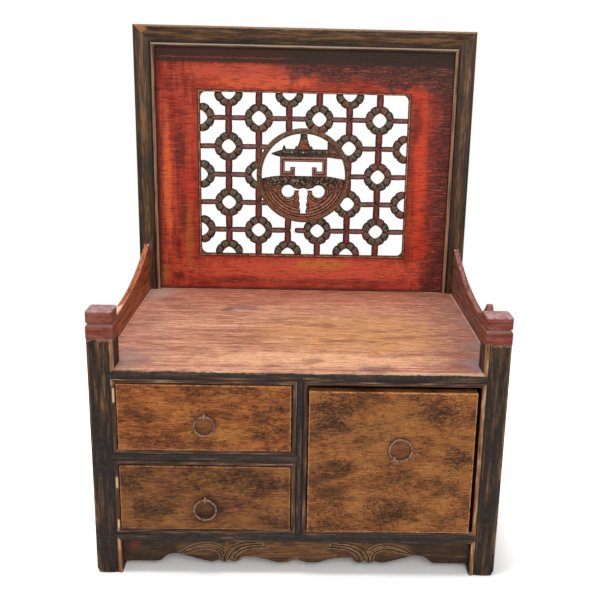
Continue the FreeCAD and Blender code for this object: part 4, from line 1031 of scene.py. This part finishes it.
def carved_slab(name, spans, step, outline, carve, levels, material):
    """Make a slab whose outline is where outline(x, z) is below 0 and whose face is carved.

    carve(x, z, gap) gives the depth cut into the face and the carving there (1 in a groove, below 0 on
    a crest), which is kept as a mesh attribute. spans are the x and z ranges, levels the two faces' y.
    """
    (x0, x1), (z0, z1) = spans
    x, z = np.meshgrid(np.arange(x0, x1 + step, step), np.arange(z0, z1 + step, step), indexing="ij")
    gap = outline(x, z)
    small = 0.05
    reach = 0.72 * step
    slope_x = (outline(x + small, z) - outline(x - small, z)) / (2 * small)
    slope_z = (outline(x, z + small) - outline(x, z - small)) / (2 * small)
    steepness = np.maximum(slope_x ** 2 + slope_z ** 2, 0.25)
    near = np.abs(gap) < reach
    x = np.where(near, x - gap * slope_x / steepness, x)
    z = np.where(near, z - gap * slope_z / steepness, z)
    present = gap < reach
    cell = present[:-1, :-1] & present[1:, :-1] & present[1:, 1:] & present[:-1, 1:]
    middle_x = (x[:-1, :-1] + x[1:, :-1] + x[1:, 1:] + x[:-1, 1:]) / 4
    middle_z = (z[:-1, :-1] + z[1:, :-1] + z[1:, 1:] + z[:-1, 1:]) / 4
    cell &= outline(middle_x, middle_z) < -0.02
    depth, carving = carve(x, z, np.minimum(outline(x, z), 0.0))
    front, back = levels
    solid = bmesh.new()
    layer = solid.verts.layers.float.new("carving")
    corners = {}
    for i, j in zip(*np.nonzero(cell)):
        around = []
        for key in ((i, j), (i + 1, j), (i + 1, j + 1), (i, j + 1)):
            if key not in corners:
                place = (x[key] * MM, (front + depth[key]) * MM, z[key] * MM)
                corners[key] = solid.verts.new(place)
                corners[key][layer] = carving[key]
            around.append(corners[key])
        solid.faces.new(around)
    grown = bmesh.ops.extrude_face_region(solid, geom=list(solid.faces))
    rear = [item for item in grown["geom"] if isinstance(item, bmesh.types.BMVert)]
    for vertex in rear:
        vertex.co.y = back * MM
    rear_edges = [item for item in grown["geom"] if isinstance(item, bmesh.types.BMEdge)]
    bmesh.ops.dissolve_limit(solid, angle_limit=math.radians(1), verts=rear, edges=rear_edges)
    return closed_mesh(name, solid, material)


def groove(distance, width):
    """1 in the middle of a groove of that width and 0 from its edges on."""
    return np.clip(1 - (2 * distance / width) ** 2, 0, 1)


def crests(distance, width):
    """1 on the crests left on both sides of a groove of that width."""
    return np.clip(1 - ((distance - 0.95 * width) / (0.45 * width)) ** 2, 0, 1)


def line_gap(x, z, points):
    """How far places are from a smooth line through the points."""
    guide = [points[0]] + list(points) + [points[-1]]
    curve = []
    for before, start, end, after in zip(guide, guide[1:], guide[2:], guide[3:]):
        for step in range(6):
            t = step / 6
            place = []
            for a, b, c, d in zip(before, start, end, after):
                place.append(b + 0.5 * t * (c - a + t * (2 * a - 5 * b + 4 * c - d
                                                         + t * (3 * (b - c) + d - a))))
            curve.append(tuple(place))
    return path_gap(x, z, curve + [points[-1]])


def roundel_outline(x, z):
    """The roundel: a ring with a bowl, a fret bracket, a roof and a petal in it."""
    ring = np.maximum(circle_gap(x, z, 0, 0, roundel_radius), -circle_gap(x, z, 0, 0, roundel_hole))
    bowl_top = -1.0 - 6.0 * np.clip((np.abs(x) - 42.0) / 36.0, 0, 1) ** 1.6
    bowl = np.maximum(circle_gap(x, z, 0, 0, 82.0), z - bowl_top)
    slot_top = -23.5 + 1.2 * np.cos(0.36 * x)
    slot = np.maximum(np.maximum(np.abs(x) - 28.0, z - slot_top), -28.0 - z)
    slit_half = 8.5 + 3.5 * (z + 28.0) / 43.0 + 0.7 * np.sin(0.5 * z)
    slit = np.maximum(np.maximum(np.abs(x) - slit_half, z + 27.9), -71.0 - z)
    opening = np.minimum(slot, slit)
    for side in (-1, 1):
        tongue = box_gap(x, z, *sorted((side * 8.5, side * 17.0)), -41.0, -32.0)
        tongue = np.minimum(tongue, circle_gap(x, z, side * 13.0, -32.0, 4.4))
        hole = circle_gap(x, z, side * curl_x, curl_z, curl_radius)
        opening = np.minimum(opening, np.maximum(hole, -tongue))
        opening = np.maximum(opening, -tongue)
    whole = np.minimum(ring, np.maximum(bowl, -opening))
    for part in (bracket_outline, roof_outline, petal_outline):
        whole = np.minimum(whole, part(x, z))
    return whole


def bracket_outline(x, z):
    """The fret bracket, whose ends turn inwards and up."""
    whole = box_gap(x, z, -43.5, 43.5, 26.0, 35.0)
    for side in (-1, 1):
        leg = box_gap(x, z, *sorted((side * 34.5, side * 43.5)), -1.5, 35.0)
        foot = box_gap(x, z, *sorted((side * 15.5, side * 43.5)), -1.5, 8.0)
        hook = box_gap(x, z, *sorted((side * 15.5, side * 24.5)), -1.5, 15.5)
        whole = np.minimum(np.minimum(whole, leg), np.minimum(foot, hook))
    return whole


def roof_outline(x, z):
    """The leaf-shaped roof with a spur on the left and the shoulder that ties its right end to the ring."""
    roof = polygon_gap(x, z, [(-60.0, 40.0), (-52.0, 36.5), (-43.5, 34.5), (43.5, 34.5), (60.0, 40.0),
                              (43.5, 48.5), (-36.0, 48.5), (-48.0, 44.5)])
    spur = polygon_gap(x, z, [(-40.0, 47.0), (-32.0, 47.0), (-36.5, 57.0)])
    shoulder = polygon_gap(x, z, [(43.5, 34.5), (73.0, 31.0), (43.5, 70.0)])
    return np.minimum(np.minimum(roof, spur), shoulder)


def petal_outline(x, z):
    """The petal that stands on the roof between two small leaves and meets the ring."""
    half = [(17.0, 47.5), (15.0, 54.5), (12.0, 53.0), (9.0, 60.0), (6.8, 68.0), (6.0, 82.0)]
    return polygon_gap(x, z, half + [(-across, up) for across, up in reversed(half)])


def roundel_carving(x, z, gap):
    """Round the edges, cut the double lines of the ring, the bracket's line and the bowl's curls."""
    inward = -gap
    radius = np.hypot(x, z)
    on_ring = radius > roundel_hole
    in_bowl = (z < -1.0) & (radius < roundel_hole + 1.0)
    in_bracket = (bracket_outline(x, z) < 0.0) & (z > -1.0)
    lines = np.zeros(x.shape)
    crest = np.zeros(x.shape)
    strokes = [
        (np.abs(radius - 80.0), 1.9, on_ring),
        (np.abs(radius - 83.6), 1.9, on_ring),
        (np.abs(bracket_outline(x, z) + 4.2), 1.9, in_bracket),
    ]
    for side in (-1, 1):
        from_hole = circle_gap(x, z, side * curl_x, curl_z, curl_radius)
        strokes.append((np.abs(from_hole - 3.0), 2.0, in_bowl & (z < -12.0)))
        strokes.append((np.abs(from_hole - 7.4), 2.0, in_bowl & (z < -24.0)))
    for sweep_radius in (60.5, 66.0, 71.5):
        strokes.append((np.abs(radius - sweep_radius), 2.2, in_bowl & (z < -30.0)))
    for distance, width, where in strokes:
        lines = np.maximum(lines, groove(distance, width) * where)
        crest = np.maximum(crest, crests(distance, width) * where)
    wander = 2.6 * np.sin(0.21 * z + 0.13 * x) + 1.7 * np.sin(0.33 * x - 0.27 * z)
    hatch = np.sin(0.57 * x + wander) * np.cos(0.49 * z + 0.17 * x + 1.3 * np.sin(0.23 * x))
    upper = (z > -19.0) & in_bowl
    lines = np.where(upper, np.maximum(lines, np.clip(hatch * 1.8 - 0.2, 0, 1)), lines)
    crest = np.where(upper, np.maximum(crest, np.clip(-hatch * 1.8 - 0.5, 0, 1)), crest)
    lines = np.maximum(lines, in_bowl * groove(np.abs(radius - roundel_hole), 2.6))
    depth = 0.3 + 1.9 * np.clip(1 - inward / 2.6, 0, 1) ** 2 + 1.2 * lines
    depth = np.where(in_bowl, depth + 0.8, depth)
    roof = (roof_outline(x, z) < 0) & ~on_ring
    depth = np.where(roof, depth + 0.6 + 1.2 * np.abs(z - 43.5) / 5.0, depth)
    # Near the outline the carving rises, which lays painted shade on the rounded edges
    under = np.clip(1 - inward / 1.6, 0, 1)
    carving = np.where(lines > shallow, lines, -crest * (lines < shallow))
    return depth, np.clip(carving + 0.7 * under, -1, 1)


# Apron

apron_edge = [
    (0.0, 18.5), (9.0, 14.5), (16.0, 12.5), (25.0, 12.0), (34.0, 13.0), (62.0, 20.5), (84.0, 21.0),
    (90.0, 14.0), (97.0, 12.5), (101.0, 14.5), (103.5, 16.5), (107.0, 13.0), (110.5, 12.0),
    (114.0, 13.0), (117.5, 16.5), (124.0, 13.5), (131.0, 12.5), (152.0, 18.0), (178.0, 25.5),
    (190.0, 25.5), (200.0, 20.5), (206.0, 14.5), (215.0, 12.5),
]


def apron_corners():
    """The apron's outline as a polygon, with its lower edge drawn through arcs."""
    half = []
    for (x0, z0), (x1, z1), (x2, z2) in zip(apron_edge[::2], apron_edge[1::2], apron_edge[2::2]):
        for step in range(5):
            t = step / 5
            first, second, third = (1 - t) * (1 - 2 * t), 4 * t * (1 - t), t * (2 * t - 1)
            half.append((first * x0 + second * x1 + third * x2, first * z0 + second * z1 + third * z2))
    half += [(215.0, 12.5), (267.5, 12.5), (267.5, 53.5)]
    return half + [(-across, up) for across, up in reversed(half[1:])]


def apron_outline(x, z):
    return polygon_gap(x, z, apron_corners())


def apron_carving(x, z, gap):
    """Cut the leaf and the pairs of sweeping tongues into each half of the apron."""
    across = np.abs(x)
    strokes = [
        [(177.0, 27.5), (159.0, 38.5), (139.0, 43.5), (121.0, 41.5), (110.0, 34.0)],
        [(171.0, 28.0), (147.0, 35.0), (130.0, 36.0), (118.0, 30.0), (114.5, 20.0)],
        [(109.5, 14.0), (108.5, 24.0), (100.0, 37.0), (84.0, 44.5), (62.0, 46.5)],
        [(103.5, 17.5), (98.0, 29.0), (86.0, 38.0), (70.0, 42.0), (52.0, 43.5)],
        [(97.0, 15.5), (92.0, 26.0), (80.0, 34.5), (64.0, 38.5), (46.0, 39.5)],
    ]
    lines = np.zeros(x.shape)
    crest = np.zeros(x.shape)
    for points in strokes:
        distance = line_gap(across, z, points)
        lines = np.maximum(lines, groove(distance, 2.0))
        crest = np.maximum(crest, crests(distance, 2.0))
    inward = -gap
    depth = 0.2 + 1.6 * np.clip(1 - inward / 2.4, 0, 1) ** 2 + 1.5 * lines
    carving = np.where(lines > shallow, lines, -crest)
    # Near the outline the carving rises, which lays painted shade on the rounded edges
    return depth, np.clip(carving + 0.25 * np.clip(1 - inward / 1.5, 0, 1), -1, 1)


# Looks of the nodes

# For each front bar the axis it runs along and where its beads lie across it
bar_beads = {
    "front_top_rail": ("x", [(304.4, 311.4)]),
    "front_mid_rail": ("x", [(178.0, 185.0), (195.0, 202.0)]),
    "front_bottom_rail": ("x", [(67.5, 74.5)]),
    "front_mid_stile": ("z", [(-10.0, -3.0), (6.0, 13.0)]),
}
both_sides = ((-1, "left"), (1, "right"))


def dress_front():
    for side, word in both_sides:
        node = "front_post_" + word
        softened(node, "cabinet", "black_lacquer", post_paint(node, side), 1.0)
    for index, (node, (along, beads)) in enumerate(bar_beads.items()):
        material = lacquered_bar(node, along, beads, 11.0 * index, node == "front_top_rail")
        softened(node, "cabinet", "black_lacquer", material, 0.5)
    spans = ((-268.0, 268.0), (11.5, 53.5))
    levels = (-220.45, -208.45)
    slab = carved_slab("front_apron_look", spans, 1.2, apron_outline, apron_carving, levels, apron_paint())
    new_piece("front_apron_look", slab, "cabinet", "black_lacquer", "front_apron")


def dress_board_and_arms():
    softened("top_board", "cabinet", "worn_board", board_paint(), 1.0)
    for side, word in both_sides:
        node = "arm_" + word
        softened(node, "cabinet", "oxide_red_lacquer", arm_paint(node, side), 1.2)


def dress_back():
    for side, word in both_sides:
        node = "back_post_" + word
        bead = (*sorted((side * 267.0, side * 274.5)), side * 274.5)
        material = back_frame_paint(node, "z", bead, side * 4.0)
        softened(node, "cabinet", "black_lacquer", material, 0.8)
    crest = back_frame_paint("back_crest_rail", "x", (768.0, 775.5, 775.5), 8.0)
    softened("back_crest_rail", "cabinet", "black_lacquer", crest, 0.8)
    softened("back_panel", "cabinet", "red_lacquer", panel_paint(), 0.4)
    fretwork(carving_paint("fret_rings", ("413a30", "6a5b4b"), "9a8571", 1.0, "7d4437"),
             carving_paint("fret_uprights", ("54261f", "7c3c32"), "94584c", 2.0),
             carving_paint("fret_levels", ("5d3a35", "84544c"), "a98077", 3.0, "6b2f28"))
    span = (-roundel_radius - 1.5, roundel_radius + 1.5)
    slab = carved_slab("back_roundel_look", (span, span), 1.1, roundel_outline, roundel_carving,
                       (fret_front, fret_front + 12.0), roundel_paint())
    for vertex in slab.vertices:
        vertex.co.z += roundel_z * MM
    new_piece("back_roundel_look", slab, "cabinet", "red_lacquer", "back_roundel")


# For each drawer the shift of its noise, its tones, its dark dabs and its pale ones
drawer_looks = {
    "upper_drawer": (
        10.0,
        ("9c5429", "b96b32", "653217", "cf8745", "d79a64"),
        [("8b4a29", (-232.0, 250.0), (36.0, 50.0), 0.3), ("6b4220", (-40.0, 250.0), (40.0, 50.0), 0.5),
         ("70431f", (-110.0, 292.0), (90.0, 12.0), 0.5), ("70431f", (-150.0, 262.0), (40.0, 14.0), 0.5)],
        [("b57935", (-120.0, 228.0), (70.0, 22.0), 0.6)],
    ),
    "lower_drawer": (
        20.0,
        ("714225", "935a2e", "3f2414", "b07338", "c08b58"),
        [("402a1a", (-95.0, 152.0), (95.0, 20.0), 0.9), ("4a2f1c", (-235.0, 128.0), (24.0, 30.0), 0.7),
         ("53351c", (-150.0, 96.0), (50.0, 14.0), 0.6), ("53351c", (-50.0, 100.0), (30.0, 16.0), 0.6)],
        [("8f6132", (-205.0, 100.0), (50.0, 20.0), 0.6), ("a5683a", (-28.0, 120.0), (14.0, 60.0), 0.7),
         ("8c5530", (-245.0, 160.0), (20.0, 16.0), 0.5)],
    ),
    "big_drawer": (
        30.0,
        ("94572c", "b06d37", "502e15", "c78643", "dca06a"),
        [("4c3019", (50.0, 262.0), (40.0, 34.0), 0.85), ("4c3019", (205.0, 266.0), (44.0, 26.0), 0.75),
         ("4d3220", (232.0, 190.0), (26.0, 30.0), 0.8), ("4c2f18", (130.0, 112.0), (50.0, 25.0), 0.65),
         ("4c2f18", (48.0, 92.0), (40.0, 26.0), 0.75), ("4c2f18", (62.0, 180.0), (34.0, 20.0), 0.6)],
        [("a86f3c", (120.0, 230.0), (60.0, 34.0), 0.5), ("a86f3c", (195.0, 120.0), (40.0, 26.0), 0.4)],
    ),
}


def dress_drawers():
    iron = iron_paint("forged_iron", ("6e5344", "aa8a78"))
    pin_iron = iron_paint("bright_iron", ("957562", "cbaa98"))
    sides = bare_timber("drawer_timber", "y", ("a98463", "c29c78", "8a6547"), 5.0)
    for name, look in drawer_looks.items():
        node = name + "_front"
        softened(node, name, "ochre_lacquer", drawer_paint(node, *look), 0.8)
        for part in ("_side_left", "_side_right", "_back", "_bottom"):
            coat(name + part, sides)
        coat(name + "_pin", pin_iron)
        coat(name + "_ring", iron)


def dress_rest():
    red = side_paint()
    plain = bare_timber("bare_timber", "y", ("9c7a5c", "b8936e", "7a5b41"), 1.0)
    level = bare_timber("bare_timber_level", "x", ("9c7a5c", "b8936e", "7a5b41"), 2.0)
    for node in ("side_top_rail", "side_bottom_rail", "side_panel"):
        for word in ("_left", "_right"):
            coat(node + word, red)
    for node in ("partition", "upper_runner_left", "upper_runner_right", "lower_runner_left",
                 "lower_runner_middle_left", "lower_runner_middle_right", "lower_runner_right"):
        coat(node, plain)
    for node in ("bottom_board", "back_mid_rail", "back_bottom_rail", "lower_back_panel", "upper_bearer"):
        coat(node, level)


# Studio

def camera():
    """Stand the camera where the photograph was taken, as worked out from the build and the picture."""
    place = (0.003157, -1.420019, 0.756254)
    yaw, pitch, roll = 0.02476, -0.27153, 0.02296
    focal, middle_x, middle_y = 888.105, 324.177, 304.403
    image_size = 600.0
    forward = Vector((math.sin(yaw) * math.cos(pitch), math.cos(yaw) * math.cos(pitch), math.sin(pitch)))
    level = Vector((math.cos(yaw), -math.sin(yaw), 0.0))
    upward = level.cross(forward)
    right = level * math.cos(roll) + upward * math.sin(roll)
    up = upward * math.cos(roll) - level * math.sin(roll)
    data = bpy.data.cameras.new("photo_camera")
    data.sensor_fit = "HORIZONTAL"
    data.sensor_width = 36.0
    data.lens = focal / image_size * data.sensor_width
    data.shift_x = -(middle_x - image_size / 2) / image_size
    data.shift_y = (middle_y - image_size / 2) / image_size
    data.dof.use_dof = False
    made = bpy.data.objects.new("photo_camera", data)
    bpy.context.scene.collection.objects.link(made)
    turn = Matrix((right, up, -forward)).transposed()
    made.matrix_world = Matrix.Translation(place) @ turn.to_4x4()
    bpy.context.scene.camera = made


def floor():
    """A white studio floor, pale enough to vanish and matt enough to keep the soft shadow."""
    mesh = bpy.data.meshes.new("studio_floor")
    side, near, far = 1.9, -1.9, 0.9
    corners = [(-side, near, 0.0), (side, near, 0.0), (side, far, 0.0), (-side, far, 0.0)]
    mesh.from_pydata(corners, [], [(0, 1, 2, 3)])
    material = bpy.data.materials.new("studio_floor")
    material.use_nodes = True
    tree = material.node_tree
    tree.nodes.clear()
    brightened = (1.7, 1.7, 1.7, 1.0)
    bounced = add(tree, "ShaderNodeBsdfDiffuse", colour("ececec"))
    shown = add(tree, "ShaderNodeBsdfDiffuse", brightened)
    seen = add(tree, "ShaderNodeLightPath")
    both = add(tree, "ShaderNodeMixShader", seen.outputs["Is Camera Ray"], bounced, shown)
    add(tree, "ShaderNodeOutputMaterial", both)
    mesh.materials.append(material)
    made = bpy.data.objects.new("studio_floor", mesh)
    bpy.context.scene.collection.objects.link(made)


def lamp(name, place, target, size, watts):
    """Hang a square soft light that looks at a point."""
    data = bpy.data.lights.new(name, "AREA")
    data.shape = "SQUARE"
    data.size = size
    data.energy = watts
    made = bpy.data.objects.new(name, data)
    bpy.context.scene.collection.objects.link(made)
    made.location = place
    made.rotation_euler = (Vector(target) - Vector(place)).to_track_quat("-Z", "Y").to_euler()


def studio():
    scene = bpy.context.scene
    scene.view_settings.view_transform = "Standard"
    world = bpy.data.worlds.new("studio")
    scene.world = world
    world.use_nodes = True
    tree = world.node_tree
    tree.nodes.clear()
    white = (1.0, 1.0, 1.0, 1.0)
    light = add(tree, "ShaderNodeBackground", white, 0.24)
    backdrop = add(tree, "ShaderNodeBackground", white, 1.0)
    seen = add(tree, "ShaderNodeLightPath")
    both = add(tree, "ShaderNodeMixShader", seen.outputs["Is Camera Ray"], light, backdrop)
    add(tree, "ShaderNodeOutputWorld", both)
    lamp("soft_key", (-0.2, -0.05, 2.9), (0.0, 0.0, 0.3), 1.1, 62.0)
    lamp("soft_fill", (0.3, -2.7, 1.6), (0.0, 0.0, 0.45), 1.6, 33.0)
    floor()


dress_front()
dress_board_and_arms()
dress_back()
dress_drawers()
dress_rest()
studio()
camera()
